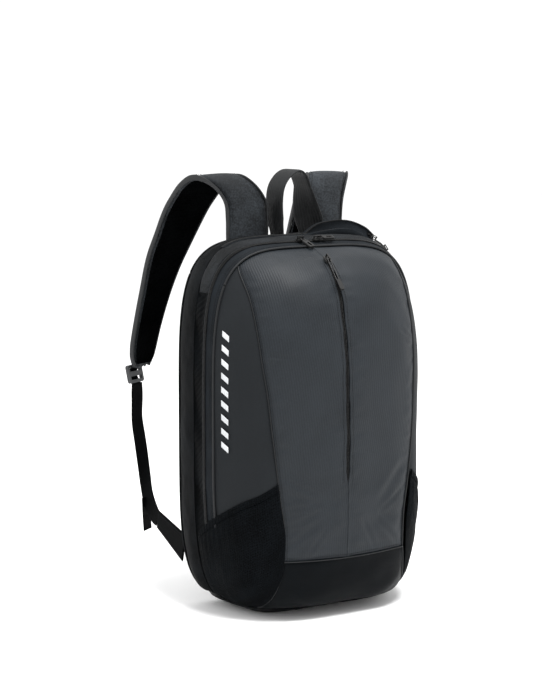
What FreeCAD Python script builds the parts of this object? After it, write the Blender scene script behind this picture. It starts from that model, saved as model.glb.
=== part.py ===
"""Racket backpack: zipped front pouch, racket compartment, mesh side pockets and shoulder straps.

Millimetres. +X is the viewer's right, -Y is the front, +Y is the wearer's side, +Z is up.
The origin is on the flat base, midway between the sides.
"""
import FreeCAD, Part
import math
import os

from FreeCAD import Matrix, Vector

# ---- body form: sections across the depth -------------------------------------------------
# y, half width, lowest z, highest z, roundness of the upper half, roundness of the lower half
SECTIONS = [
    (-86, 36, 84, 330, 2.3, 3.0),
    (-82, 66, 46, 365, 2.5, 3.5),
    (-72, 102, 20, 418, 2.9, 4.2),
    (-55, 125, 12, 450, 3.2, 4.5),
    (-30, 144, 5, 472, 3.7, 5.0),
    (0, 158, -3, 484, 4.4, 5.0),
    (20, 163, -3, 491, 4.7, 5.0),
    (46, 163, -3, 498, 4.8, 5.0),
    (62, 163, -3, 499, 4.8, 5.0),
    (88, 160, -2, 493, 4.6, 4.5),
]
OUTLINE_POINTS = 40
FABRIC = 2.4             # coated fabric, foam and lining together
TOP = 520                # above every shell panel
SPAN = 220               # further out than every shell panel

# ---- lines that divide the body ----------------------------------------------------------------
MAIN_ZIP_Y = 20          # closing line of the main compartment
ZIP_GAP = 0.4            # half of the gap between the two rows of teeth
TEETH_WIDTH = 1.8
TEETH_HEIGHT = 1.4
TAPE_THICK = 1.4
TAPE_REAR = 4            # width of the tape behind the teeth
TAPE_FRONT_Y = 3         # where the zip tape meets the pouch panels
PLEAT_REAR_Y = 44        # rear edge of the pleated side gusset
RACKET_ZIP_Y = 46
FRONT_Y = -86
BACK_Y = 88
BOARD_HALF = 84          # half width of the stiffener in the base
BOARD_Y = (-8, 37)
BOARD_Z = 5.6
BOARD_THICK = 2          # of the base stiffener and of the one in the back
BASE_TOP_Z = 12          # the bottom panel reaches up to here
BAND_TOP_Z = 82          # top of the coated base band
FOLD_Z = 188             # the front flap folds here
FOLD_Y = -88
FOLD_GAP = 0.6
PLEAT_TOP_Z = 432
ZIP_END_Z = 116          # lower ends of the main zip
# half distance between the two front seams, by height
FRONT_SEAM = [(-20, 112), (20, 112), (60, 102), (95, 98), (135, 98), (260, 111), (340, 119), (450, 122), (TOP, 121)]

# ---- front pocket ---------------------------------------------------------------------------------
FRONT_ZIP_X = -8
FRONT_ZIP_LOW_Z = 192
FRONT_ZIP_HIGH_Z = 462
SLIT_WIDTH = 5
SLIT_REAR_Y = -30        # the slit cuts the panels forward of this
FRONT_TAPE_HALF = 11
FRONT_TAPE_REAR_Y = -26
LINER_Y = -18
LINER_THICK = 1.4
LINER_HALF = 130         # half width of the liner below the fold

# ---- mesh pockets ----------------------------------------------------------------------------------
MESH_THICK = 1.4
MESH_ROOM = 10           # how far the side wall stands in behind the mesh
MESH_ROOM_HALF = 158     # half width of the body where that room is measured
WALL_SEAM_Z = 27.5       # the wall behind the mesh is sewn in two tiers
HEM_HEIGHT = 8
HEM_LINE = [(MAIN_ZIP_Y, 118), (0, 134), (-34, 158), (-56, 171), (-75, 186)]

# ---- racket compartment ----------------------------------------------------------------------------
DIVIDER_Y = 41
DIVIDER_THICK = 3
MOUTH_LEFT_X = 12
MOUTH_RIGHT_X = 116
MOUTH_REAR_Y = 63
MOUTH_STEPS = 8
MOUTH_CUT_Z = 440        # the way in is cut from here up
LIP_RISE = 9             # how far the rear edge of the open mouth stands up at its middle
LIP_RISE_FRONT = 1.5
LIP_THICK = 1.6
LIP_LEAN = 3
LIP_LEAN_FRONT = 1
LIP_GAP = 0.9
LIP_FOOT = 3             # height of the lip where it starts

# ---- back -------------------------------------------------------------------------------------------
BACK_PANEL_THICK = 3
BACK_FACE_Y = BACK_Y + BACK_PANEL_THICK
BACK_PAD_THICK = 9
BACK_PAD_X = (-122, -16)
BACK_PAD_Z = (60, 430)
BACK_PAD_CORNER = 24

# ---- shoulder straps, left one; the right one mirrors it -------------------------------------------
STRAP_THICK = 11
STRAP_MESH_THICK = 1.6
STRAP_ROOT = [(-50, 97.5, 476), (-50, 97, 518)]
STRAP_PATH = [
    (-50, 97, 519), (-52, 96, 538), (-66, 97, 559), (-84, 104, 573), (-93, 118, 573), (-98, 136, 562),
    (-101, 155, 545), (-105, 170, 527), (-110, 190, 494), (-115, 211, 458), (-118, 228, 422),
    (-122, 243, 380), (-125, 256, 338), (-126, 265, 302),
]
STRAP_WIDTHS = [62, 63, 66, 68, 68, 67, 66, 65, 62, 58, 55, 53, 51, 42]
STRAP_TWISTS = [0, 0, 0, 0, 2, 4, 8, 11, 15, 18, 20, 22, 24, 26]
STRAP_LEAN = [1, 0.9, 0.5, 0.1] + [0] * 10
RIGHT_LEAN = 20          # the right strap is sewn this much further out
WEB_WIDTH = 25
WEB_THICK = 1.6
WEB_PATH = [
    (-130.7, 267.9, 278.2), (-131, 267, 255), (-134, 262, 227), (-135, 252, 200), (-137, 240, 173),
    (-141, 225, 147), (-147, 205, 124), (-151, 180, 107), (-152, 167, 102),
]
WEB_TWISTS = [26, 26, 26, 26, 24, 22]
WEB_END_ACROSS = [(0.85, 0.3, 0.45), (0.35, -0.35, 0.85), (0.05, -0.5, 0.86)]
TAIL_PATH = [(-146, 214.5, 125), (-146, 213, 102), (-146, 210, 79)]
TAB_ROOT = (-152, 93.5, 76)
TAB_ROOT_HEIGHT = 40
TAB_TIP = (-152, 165, 101)
LOCK_CENTRE = (-133, 270, 292)
LOCK_WIDTH = 36
LOCK_HEIGHT = 26
LOCK_THICK = 5

# ---- carry handle ------------------------------------------------------------------------------------
HANDLE_LEFT_X = -14
HANDLE_RIGHT_X = 37
HANDLE_TOP_Z = 583
HANDLE_BASE_Z = 501.5
HANDLE_THICK = 3.2
HANDLE_Y = (66, 110)
HANDLE_ROOT_Y = (80, 92)

# ---- zip sliders -----------------------------------------------------------------------------------------
SLIDER_LENGTH = 11
SLIDER_WIDTH = 9
PLATE = 1.2
BRIDGE_LOW = 5.0
BRIDGE_HIGH = 6.0
PIVOT_HEIGHT = 3.4
SLIDER_LIFT = 0.9         # the plate rides this far above the teeth
PULL_LENGTH = 25
PULL_WIDTH = 9
PULL_THICK = 2.4
PULL_BAR_RADIUS = 0.7
FRONT_ARC_Y = 37.3       # centre and radius of the front zip's upper curve
FRONT_ARC_Z = 376.3
FRONT_ARC_RADIUS = 116.5
FRONT_SLIDER_ANGLE = 128
CORD_PULL_LENGTH = 52
CORD_PULL_DROP = 0.21    # how steeply the corded puller leans off its slider


def section_at(y):
    """The body section at depth y, between the stated ones."""
    for before, after in zip(SECTIONS, SECTIONS[1:]):
        if before[0] <= y <= after[0]:
            share = (y - before[0]) / (after[0] - before[0])
            return [a + share * (b - a) for a, b in zip(before[1:], after[1:])]
    return list(SECTIONS[-1][1:])


def outline(y, inset=0.0, shift=0.0):
    """Closed outline of the body at depth y, drawn in by inset and moved back by shift."""
    half, low, high, upper, lower = section_at(y)
    middle = (low + high) / 2
    reach = (high - low) / 2 - inset
    half -= inset
    points = []
    for step in range(OUTLINE_POINTS):
        angle = 2 * math.pi * (step + 0.5) / OUTLINE_POINTS
        power = 2 / (upper if math.sin(angle) > 0 else lower)
        across = math.copysign(abs(math.cos(angle)) ** power, math.cos(angle))
        rise = math.copysign(abs(math.sin(angle)) ** power, math.sin(angle))
        points.append(Vector(half * across, y + shift, middle + reach * rise))
    curve = Part.BSplineCurve()
    curve.interpolate(Points=points, PeriodicFlag=True)
    return Part.Wire(curve.toShape())


def form(y_low, y_high, inset=0.0, shift=0.0):
    """Solid body form between two depths."""
    depths = [y_low] + [s[0] for s in SECTIONS if y_low < s[0] < y_high] + [y_high]
    return Part.makeLoft([outline(y, inset, shift) for y in depths], True, True)


def block(x_low, x_high, y_low, y_high, z_low, z_high):
    size = (x_high - x_low, y_high - y_low, z_high - z_low)
    return Part.makeBox(*size, Vector(x_low, y_low, z_low))


def slab(z_low, z_high, x_low=-SPAN, x_high=SPAN):
    """Everything between two heights, right across the body or between two x."""
    return block(x_low, x_high, -SPAN, SPAN, z_low, z_high)


def ring(y_low, y_high, outer, inner):
    """Band round the body between two depths and two insets."""
    return form(y_low, y_high, outer).cut(form(y_low - 1e-3, y_high + 1e-3, inner))


def prism_y(points, y_low=-SPAN, y_high=SPAN):
    """Flat outline of (x, z) points drawn out along Y."""
    corners = [Vector(x, y_low, z) for x, z in points]
    face = Part.Face(Part.makePolygon(corners + corners[:1]))
    return face.extrude(Vector(0, y_high - y_low, 0))


def prism_x(points, x_low=-SPAN, x_high=SPAN):
    """Flat outline of (y, z) points drawn out along X."""
    corners = [Vector(x_low, y, z) for y, z in points]
    face = Part.Face(Part.makePolygon(corners + corners[:1]))
    return face.extrude(Vector(x_high - x_low, 0, 0))


def mirrored(shape):
    return shape.mirror(Vector(0, 0, 0), Vector(1, 0, 0))


def oriented(shape, origin, along, up):
    """Move a shape drawn at the world origin to origin, its x along 'along' and its z near 'up'."""
    x_axis = Vector(*along).normalize()
    y_axis = Vector(*up).cross(x_axis).normalize()
    z_axis = x_axis.cross(y_axis)
    rows = []
    for row in zip(x_axis, y_axis, z_axis, Vector(*origin)):
        rows += row
    return shape.transformGeometry(Matrix(*rows, 0, 0, 0, 1))


def level_across(turns):
    """Width directions that stay level, turned about Z by each angle in degrees."""
    return [Vector(math.cos(math.radians(turn)), math.sin(math.radians(turn)), 0) for turn in turns]


def ribbon(path, widths, thick, acrosses, side=0.0):
    """Flat strap along a path, as wide as stated in the direction across; side moves it along its normal."""
    wires = []
    for index, here in enumerate(path):
        before = Vector(*path[max(index - 1, 0)])
        after = Vector(*path[min(index + 1, len(path) - 1)])
        along = (after - before).normalize()
        across = Vector(*acrosses[index]).normalize()
        normal = along.cross(across).normalize()
        centre = Vector(*here) + normal * side
        reach = across * (widths[index] / 2)
        depth = normal * (thick / 2)
        corners = [centre - reach - depth, centre + reach - depth, centre + reach + depth, centre - reach + depth]
        wires.append(Part.makePolygon(corners + corners[:1]))
    return Part.makeLoft(wires, True, True)


# ---- front pouch ---------------------------------------------------------------------------------------

def pouch_shell():
    """Fabric shell of the pouch, open at the back."""
    outer = form(FRONT_Y, TAPE_FRONT_Y)
    inner = form(FRONT_Y, TAPE_FRONT_Y + 6, 1.4, FABRIC)
    floor = slab(0, TOP)
    return outer.cut(inner).common(floor)


def seam_prism():
    right = [(x, z) for z, x in FRONT_SEAM]
    left = [(-x, z) for z, x in reversed(FRONT_SEAM)]
    return prism_y(right + left)


def pouch_parts():
    shell = pouch_shell()
    prism = seam_prism()
    front = shell.common(prism)
    sides = shell.cut(prism)
    above = slab(FOLD_Z + FOLD_GAP, TOP)
    below = slab(BAND_TOP_Z, FOLD_Z)
    band = slab(BASE_TOP_Z, BAND_TOP_Z)
    slit = block(FRONT_ZIP_X - SLIT_WIDTH / 2, FRONT_ZIP_X + SLIT_WIDTH / 2,
                 -SPAN, SLIT_REAR_Y, FRONT_ZIP_LOW_Z, FRONT_ZIP_HIGH_Z)
    left = slab(-10, TOP, -SPAN, FRONT_ZIP_X)
    right = slab(-10, TOP, FRONT_ZIP_X, SPAN)
    upper = front.common(above).cut(slit)
    lower = front.common(below)
    return {
        "front_panel_left": upper.common(left),
        "front_panel_right": upper.common(right),
        "front_foot": lower,
        "side_panel_left": sides.common(above).common(slab(0, TOP, -SPAN, 0)),
        "side_panel_right": sides.common(above).common(slab(0, TOP, 0, SPAN)),
        "base_band": front.common(band),
    }


def front_zip_parts():
    """Tape and teeth behind the centre slit."""
    outer = form(FRONT_Y, -20, 2.0, 3.2)
    inner = form(FRONT_Y, -10, 3.0, 4.6)
    strip = block(FRONT_ZIP_X - FRONT_TAPE_HALF, FRONT_ZIP_X + FRONT_TAPE_HALF, -SPAN, FRONT_TAPE_REAR_Y,
                  FRONT_ZIP_LOW_Z, FRONT_ZIP_HIGH_Z)
    tape = outer.cut(inner).common(strip)
    outer = form(FRONT_Y, -20, 0.8, 1.2)
    inner = form(FRONT_Y, -10, 2.0, 3.2)
    core = block(FRONT_ZIP_X - TEETH_WIDTH, FRONT_ZIP_X + TEETH_WIDTH, -SPAN, FRONT_TAPE_REAR_Y,
                 FRONT_ZIP_LOW_Z, FRONT_ZIP_HIGH_Z)
    return {"front_zip_tape": tape, "front_zip_teeth": outer.cut(inner).common(core)}


def liner_parts():
    """Lining wall between the front pocket and the main compartment, and the pocket's floor."""
    inner = form(LINER_Y, LINER_Y + LINER_THICK, FABRIC + 3)
    upper = inner.common(slab(FOLD_Z + FOLD_GAP, TOP))
    lower = inner.common(slab(BAND_TOP_Z + 3, FOLD_Z, -LINER_HALF, LINER_HALF))
    room = form(-80, LINER_Y + LINER_THICK, MESH_ROOM + FABRIC + 4)
    floor = room.common(block(-90, 90, -76, 120, BAND_TOP_Z, BAND_TOP_Z + 4))
    return {"pocket_liner": upper, "pocket_liner_foot": lower.fuse(floor)}


# ---- side walls and mesh pockets -------------------------------------------------------------------------

def below_hem(drop):
    """Space below the slanted pocket hem."""
    line = [(y, z - drop) for y, z in HEM_LINE]
    return prism_x([(MAIN_ZIP_Y, -10)] + line + [(-100, HEM_LINE[-1][1] - drop), (-100, -10)])


def side_parts():
    """Left side wall behind and above the mesh, the mesh, and its elastic hem."""
    prism = seam_prism()
    left = block(-SPAN, 0, -SPAN, MAIN_ZIP_Y - ZIP_GAP, BASE_TOP_Z, FOLD_Z)
    wall = ring(FRONT_Y + 2, MAIN_ZIP_Y - ZIP_GAP, 0, FABRIC)
    wall = wall.transformGeometry(Matrix(1 - MESH_ROOM / MESH_ROOM_HALF, 0, 0, 0, 0, 1, 0, 0, 0, 0, 1, 0, 0, 0, 0, 1))
    wall = wall.common(left).cut(prism)
    layer = form(FRONT_Y, MAIN_ZIP_Y - ZIP_GAP, -MESH_THICK).cut(form(FRONT_Y, MAIN_ZIP_Y + 1, 0))
    layer = layer.common(left).cut(prism)
    mesh = layer.common(below_hem(HEM_HEIGHT))
    hem = layer.common(below_hem(0)).cut(below_hem(HEM_HEIGHT))
    corner = ring(FRONT_Y + 2, MAIN_ZIP_Y - ZIP_GAP, 0, FABRIC).common(left).cut(prism).cut(below_hem(-1))
    tier = slab(0, WALL_SEAM_Z)
    tiers = wall.common(tier).Solids + wall.cut(tier).Solids
    return {"side_foot": Part.makeCompound(tiers + [corner]), "mesh_pocket": mesh, "pocket_hem": hem}


# ---- zips round the body ----------------------------------------------------------------------------------

def main_zip_parts():
    above = slab(FOLD_Z + FOLD_GAP, TOP + 20)
    over_end = slab(ZIP_END_Z, TOP + 20)
    over_base = slab(BASE_TOP_Z, TOP + 20)
    near = MAIN_ZIP_Y - ZIP_GAP
    far = MAIN_ZIP_Y + ZIP_GAP
    tape_front = ring(TAPE_FRONT_Y + 0.1, near, 0, TAPE_THICK).common(above)
    teeth_front = ring(near - TEETH_WIDTH, near, -TEETH_HEIGHT, 0).common(above)
    tape_rear = ring(far, far + TAPE_REAR, 0, TAPE_THICK).common(over_base)
    teeth_rear = ring(far, far + TEETH_WIDTH, -TEETH_HEIGHT, 0).common(over_end)
    return {"main_zip_tape_front": tape_front, "main_zip_teeth_front": teeth_front,
            "main_zip_tape_rear": tape_rear, "main_zip_teeth_rear": teeth_rear}


def piping_parts():
    cord = ring(TAPE_FRONT_Y - 2, TAPE_FRONT_Y, -1.6, 0)
    return {"flap_piping": cord.common(slab(FOLD_Z + FOLD_GAP, TOP + 20))}


# ---- rear half ----------------------------------------------------------------------------------------------

def gusset_parts():
    """Pleated side gussets, the crown gusset and the racket compartment's walls."""
    start = MAIN_ZIP_Y + ZIP_GAP + TAPE_REAR
    pleat = ring(start, PLEAT_REAR_Y, 3.0, 3.0 + FABRIC)
    pleat = pleat.common(slab(BASE_TOP_Z, PLEAT_TOP_Z))
    crown = ring(start, PLEAT_REAR_Y, 0, FABRIC).common(slab(PLEAT_TOP_Z, TOP))
    rear = ring(PLEAT_REAR_Y, BACK_Y, 0, FABRIC).common(slab(BASE_TOP_Z, TOP))
    rear = rear.cut(mouth_hole())
    left = slab(0, TOP, -SPAN, MOUTH_LEFT_X - 6)
    right = slab(0, TOP, MOUTH_LEFT_X - 6, SPAN)
    half_left = slab(0, TOP, -SPAN, 0)
    half_right = slab(0, TOP, 0, SPAN)
    return {
        "pleat_gusset_left": pleat.common(half_left),
        "pleat_gusset_right": pleat.common(half_right),
        "crown_gusset": crown,
        "rear_gusset_left": rear.common(left),
        "rear_gusset_right": rear.common(right),
    }


def mouth_points(rear):
    """The open racket mouth's front edge (rear = 0) or rear edge (rear = 1), as (x, y)."""
    span = MOUTH_RIGHT_X - MOUTH_LEFT_X
    points = []
    for step in range(MOUTH_STEPS + 1):
        share = step / MOUTH_STEPS
        bow = math.sin(math.pi * share)
        y = RACKET_ZIP_Y + 1 + rear * bow * (MOUTH_REAR_Y - RACKET_ZIP_Y - 1)
        points.append((MOUTH_LEFT_X + span * share, y))
    return points


def mouth_hole():
    """Lens-shaped way in through the top, behind the racket zip."""
    rear = mouth_points(1)
    corners = [Vector(x, y, MOUTH_CUT_Z) for x, y in rear]
    face = Part.Face(Part.makePolygon(corners + corners[:1]))
    return face.extrude(Vector(0, 0, 120))


def crown_z(x, y):
    """Height of the body's upper surface at x, y."""
    half, low, high, upper, _ = section_at(y)
    middle = (low + high) / 2
    return middle + (high - middle) * (1 - min(abs(x) / half, 1) ** upper) ** (1 / upper)


def lip(rear, rise, reach):
    """Upstanding edge of the mouth, highest at its middle."""
    wires = []
    side = 1 if rear else -1
    for index, (x, y) in enumerate(mouth_points(rear)[1:-1]):
        bow = math.sin(math.pi * (index + 1) / MOUTH_STEPS)
        base = crown_z(x, y) + LIP_GAP
        top = base + LIP_FOOT + rise * bow
        near = y + side * 0.6
        far = near + side * LIP_THICK
        corners = [Vector(x, near, base), Vector(x, far, base), Vector(x, far + side * reach * bow, top),
                   Vector(x, near + side * reach * bow, top)]
        wires.append(Part.makePolygon(corners + corners[:1]))
    return Part.makeLoft(wires, True, True)


def back_parts():
    panel = Part.Face(outline(BACK_Y)).extrude(Vector(0, BACK_PANEL_THICK, 0))
    panel = panel.common(slab(BASE_TOP_Z, TOP))
    board = Part.Face(outline(BACK_Y, FABRIC + 4)).extrude(Vector(0, BOARD_THICK, 0))
    board.translate(Vector(0, -3, 0))
    board = board.common(slab(BASE_TOP_Z + 6, TOP))
    divider = form(DIVIDER_Y, DIVIDER_Y + DIVIDER_THICK, FABRIC + 3.4)
    divider = divider.common(slab(BASE_TOP_Z, TOP))
    return {"back_panel": panel, "back_board": board, "divider_panel": divider}


def back_pad():
    pad = block(*BACK_PAD_X, BACK_FACE_Y + 0.1, BACK_FACE_Y + 0.1 + BACK_PAD_THICK, *BACK_PAD_Z)
    upright = [e for e in pad.Edges if abs(e.tangentAt(e.FirstParameter).y) > 0.9]
    return pad.makeFillet(BACK_PAD_CORNER, upright)


def base_parts():
    """Bottom panel with the flat resting face, and the stiffening board above it."""
    outer = form(-72, BACK_Y).common(slab(0, BASE_TOP_Z))
    inner = form(-72, BACK_Y + 1, FABRIC + 0.6).common(block(-220, 220, -66, BACK_Y, 3, BASE_TOP_Z + 1))
    board = block(-BOARD_HALF, BOARD_HALF, *BOARD_Y, BOARD_Z, BOARD_Z + BOARD_THICK)
    return {"base_panel": outer.cut(inner), "base_board": board}


# ---- straps ---------------------------------------------------------------------------------------------------

def strap_parts(lean):
    """A strap drawn as the left one; lean moves the sewn end and the rise towards the side."""
    path = [(x - lean * share, y, z) for (x, y, z), share in zip(STRAP_PATH, STRAP_LEAN)]
    root_path = [(x - lean, y, z) for x, y, z in STRAP_ROOT]
    across = level_across(STRAP_TWISTS)
    pad = ribbon(path, STRAP_WIDTHS, STRAP_THICK, across)
    under = [w - 8 for w in STRAP_WIDTHS]
    lining = ribbon(path, under, STRAP_MESH_THICK, across, side=(STRAP_THICK + STRAP_MESH_THICK) / 2 + 0.05)
    root = ribbon(root_path, [STRAP_WIDTHS[0]] * 2, STRAP_THICK, across)
    webbing = ribbon(WEB_PATH, [WEB_WIDTH] * len(WEB_PATH), WEB_THICK, level_across(WEB_TWISTS) + WEB_END_ACROSS)
    tail = ribbon(TAIL_PATH, [WEB_WIDTH] * 3, WEB_THICK, level_across([35] * 3))
    return {"shoulder_strap": pad, "strap_mesh": lining, "strap_root": root, "lower_webbing": webbing,
            "webbing_tail": tail, "wing_tab": wing_tab(), "ladder_lock": ladder_lock()}


def wing_tab():
    """Triangular tab that joins the webbing to the lower rear corner."""
    x, y, z = TAB_ROOT
    tip_x, tip_y, tip_z = TAB_TIP
    half = TAB_ROOT_HEIGHT / 2
    tip_half = WEB_WIDTH / 2
    outline_points = [(y, z - half), (y, z + half), (tip_y - 4.8, tip_z + tip_half), (tip_y + 3.6, tip_z - tip_half)]
    return prism_x(outline_points, x - 1.2, x + 1.2)


def ladder_lock():
    """Moulded adjuster: a frame with two slots for the webbing."""
    frame = block(-LOCK_WIDTH / 2, LOCK_WIDTH / 2, -LOCK_HEIGHT / 2, LOCK_HEIGHT / 2, -LOCK_THICK / 2, LOCK_THICK / 2)
    upright = [e for e in frame.Edges if abs(e.tangentAt(e.FirstParameter).z) > 0.9]
    frame = frame.makeFillet(4, upright)
    slot_half = WEB_WIDTH / 2 + 1.5
    for low in (-8.5, 3.5):
        frame = frame.cut(block(-slot_half, slot_half, low, low + 5, -10, 10))
    return oriented(frame, LOCK_CENTRE, (0.85, 0.5, 0), (0.45, -0.85, 0.2))


# ---- carry handle ----------------------------------------------------------------------------------------------

def carry_handle():
    """Webbing loop: a band in the XZ plane that narrows to its sewn roots."""
    radius = (HANDLE_RIGHT_X - HANDLE_LEFT_X) / 2
    middle = (HANDLE_RIGHT_X + HANDLE_LEFT_X) / 2
    spring = HANDLE_TOP_Z - radius
    depth = HANDLE_Y[1] - HANDLE_Y[0]
    outer = Part.makeCylinder(radius, depth, Vector(middle, HANDLE_Y[0], spring), Vector(0, 1, 0))
    outer = outer.fuse(block(HANDLE_LEFT_X, HANDLE_RIGHT_X, *HANDLE_Y, HANDLE_BASE_Z, spring))
    inner = Part.makeCylinder(radius - HANDLE_THICK, depth, Vector(middle, HANDLE_Y[0], spring), Vector(0, 1, 0))
    inner = inner.fuse(block(HANDLE_LEFT_X + HANDLE_THICK, HANDLE_RIGHT_X - HANDLE_THICK, *HANDLE_Y,
                             HANDLE_BASE_Z - 1, spring))
    shoulder = HANDLE_BASE_Z + 26
    taper = prism_x([(HANDLE_ROOT_Y[0], HANDLE_BASE_Z), (HANDLE_ROOT_Y[1], HANDLE_BASE_Z),
                     (HANDLE_Y[1], shoulder), (HANDLE_Y[1], TOP + 100),
                     (HANDLE_Y[0], TOP + 100), (HANDLE_Y[0], shoulder)])
    return outer.cut(inner).common(taper)


# ---- sliders and pullers ------------------------------------------------------------------------------------------

def slider():
    """Zip slider at the world origin, running along x, its plate's underside at z = 0."""
    plate = block(-SLIDER_LENGTH / 2, SLIDER_LENGTH / 2, -SLIDER_WIDTH / 2, SLIDER_WIDTH / 2, 0, PLATE)
    upright = [e for e in plate.Edges if abs(e.tangentAt(e.FirstParameter).z) > 0.9]
    plate = plate.makeFillet(2.5, upright)
    post = 1.1
    reach = SLIDER_LENGTH / 2 - 0.6
    bridge = block(-reach, reach, -1, 1, BRIDGE_LOW, BRIDGE_HIGH)
    for x in (-reach, reach - post):
        bridge = bridge.fuse(block(x, x + post, -1, 1, PLATE, BRIDGE_LOW))
    return plate.fuse(bridge)


def puller():
    """Puller at the world origin, pivoting about y and lying along +x."""
    half = PULL_WIDTH / 2 - 1.2
    bar = Part.makeCylinder(PULL_BAR_RADIUS, 2 * half, Vector(0, -half, 0), Vector(0, 1, 0))
    blade = block(7, PULL_LENGTH, -PULL_WIDTH / 2, PULL_WIDTH / 2, -PULL_THICK / 2, PULL_THICK / 2)
    upright = [e for e in blade.Edges if abs(e.tangentAt(e.FirstParameter).z) > 0.9]
    blade = blade.makeFillet(2.6, upright).cut(block(PULL_LENGTH - 11, PULL_LENGTH - 3, -1.6, 1.6, -2, 2))
    shape = bar.fuse(blade)
    for low in (-half, half - 1.3):
        shape = shape.fuse(block(-0.6, 8, low, low + 1.3, -0.7, 0.7))
    return shape


def cord_puller():
    """Corded puller at the world origin: a cord loop in a moulded grip, lying along +x."""
    half = 1.9
    bar = Part.makeCylinder(PULL_BAR_RADIUS, 2 * half, Vector(0, -half, 0), Vector(0, 1, 0))
    grip = block(CORD_PULL_LENGTH - 16, CORD_PULL_LENGTH, -3.2, 3.2, -1.8, 1.8)
    upright = [e for e in grip.Edges if abs(e.tangentAt(e.FirstParameter).z) > 0.9]
    shape = bar.fuse(grip.makeFillet(1.6, upright))
    for side in (-half, half):
        cord = Part.makeCylinder(0.8, CORD_PULL_LENGTH - 14, Vector(-0.4, side, 0), Vector(1, 0, 0))
        shape = shape.fuse(cord)
    return shape


def slope(x, y):
    """Upward normal of the body's upper surface at x, y."""
    step = 0.5
    rise_x = (crown_z(x + step, y) - crown_z(x - step, y)) / (2 * step)
    rise_y = (crown_z(x, y + step) - crown_z(x, y - step)) / (2 * step)
    return Vector(-rise_x, -rise_y, 1).normalize()


def report(**vectors):
    """Print joint directions and pivots, which the record states too."""
    for name, vector in vectors.items():
        print("   ", name, [round(c, 4) for c in vector])


def crown_slider(x, y, pull_along):
    """Slider on the crown at x, y and its puller, lying along pull_along, or square to the zip if that is None."""
    up = slope(x, y)
    along = Vector(1, 0, 0)
    along = (along - up * along.dot(up)).normalize()
    pull_along = pull_along or tuple(up.cross(along))
    seat = Vector(x, y, crown_z(x, y)) + up * (TEETH_HEIGHT + SLIDER_LIFT)
    body = oriented(slider(), seat, along, up)
    pivot = seat + up * PIVOT_HEIGHT
    blade = oriented(puller(), pivot, pull_along, up)
    swing = Vector(*pull_along).cross(up).normalize()
    report(along=along, pivot=pivot, swing=swing)
    return body, blade


def slider_parts():
    parts = {}
    places = {
        "main_slider_left": (-16, MAIN_ZIP_Y - 2, (0.25, -1, -0.5)),
        "main_slider_right": (10, MAIN_ZIP_Y - 2, (1, -0.08, -0.03)),
        "racket_slider_inner": (118, RACKET_ZIP_Y - 2, None),
        "racket_slider_outer": (136, RACKET_ZIP_Y - 2, None),
    }
    for name, (x, y, along) in places.items():
        print(name)
        body, blade = crown_slider(x, y, along)
        parts[name] = body
        parts[name.replace("slider", "puller")] = blade
    turn = math.radians(FRONT_SLIDER_ANGLE)
    up = Vector(0, math.cos(turn), math.sin(turn))
    down = Vector(0, -math.sin(turn), math.cos(turn))
    seat = Vector(FRONT_ZIP_X, FRONT_ARC_Y, FRONT_ARC_Z) + up * (FRONT_ARC_RADIUS + 3.0)
    pivot = seat + up * PIVOT_HEIGHT
    parts["front_slider"] = oriented(slider(), seat, down, up)
    hang = down - up * CORD_PULL_DROP
    parts["front_puller"] = oriented(cord_puller(), pivot, hang, up)
    print("front_slider")
    report(pivot=pivot)
    return parts


# ---- all of it --------------------------------------------------------------------------------------------------

def build():
    parts = {}
    parts.update(pouch_parts())
    parts.update(front_zip_parts())
    parts.update(liner_parts())
    parts.update(main_zip_parts())
    parts.update(piping_parts())
    parts.update(gusset_parts())
    parts.update(back_parts())
    parts.update(base_parts())
    parts.update(slider_parts())
    parts["mouth_lip_front"] = lip(0, LIP_RISE_FRONT, LIP_LEAN_FRONT)
    parts["mouth_lip_rear"] = lip(1, LIP_RISE, LIP_LEAN)
    parts["carry_handle"] = carry_handle()
    parts["back_pad_left"] = back_pad()
    parts["back_pad_right"] = mirrored(parts["back_pad_left"])
    for name, shape in side_parts().items():
        parts[name + "_left"] = shape
        parts[name + "_right"] = mirrored(shape)
    for name, shape in strap_parts(0).items():
        parts[name + "_left"] = shape
    for name, shape in strap_parts(RIGHT_LEAN).items():
        parts[name + "_right"] = mirrored(shape)
    return parts


def main():
    os.makedirs("parts", exist_ok=True)
    parts = build()
    for name, shape in sorted(parts.items()):
        box = shape.BoundBox
        print(f"{name:24s} {len(shape.Solids)} solid(s) valid {shape.isValid()} {shape.Volume / 1000:9.2f} cm3 "
              f"x {box.XMin:.1f} {box.XMax:.1f} y {box.YMin:.1f} {box.YMax:.1f} z {box.ZMin:.1f} {box.ZMax:.1f}")
        shape.exportStep(f"parts/{name}.step")
    print(len(parts), "nodes")


main()
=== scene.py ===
"""Looks of a racket backpack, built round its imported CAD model.

Lengths in this file are millimetres in the row frame: +X to the viewer's right, -Y the front,
+Y the wearer's side, +Z up. Meshes are scaled to metres when they are made.
"""
import math

import bpy
import numpy as np
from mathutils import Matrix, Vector, noise


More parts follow.
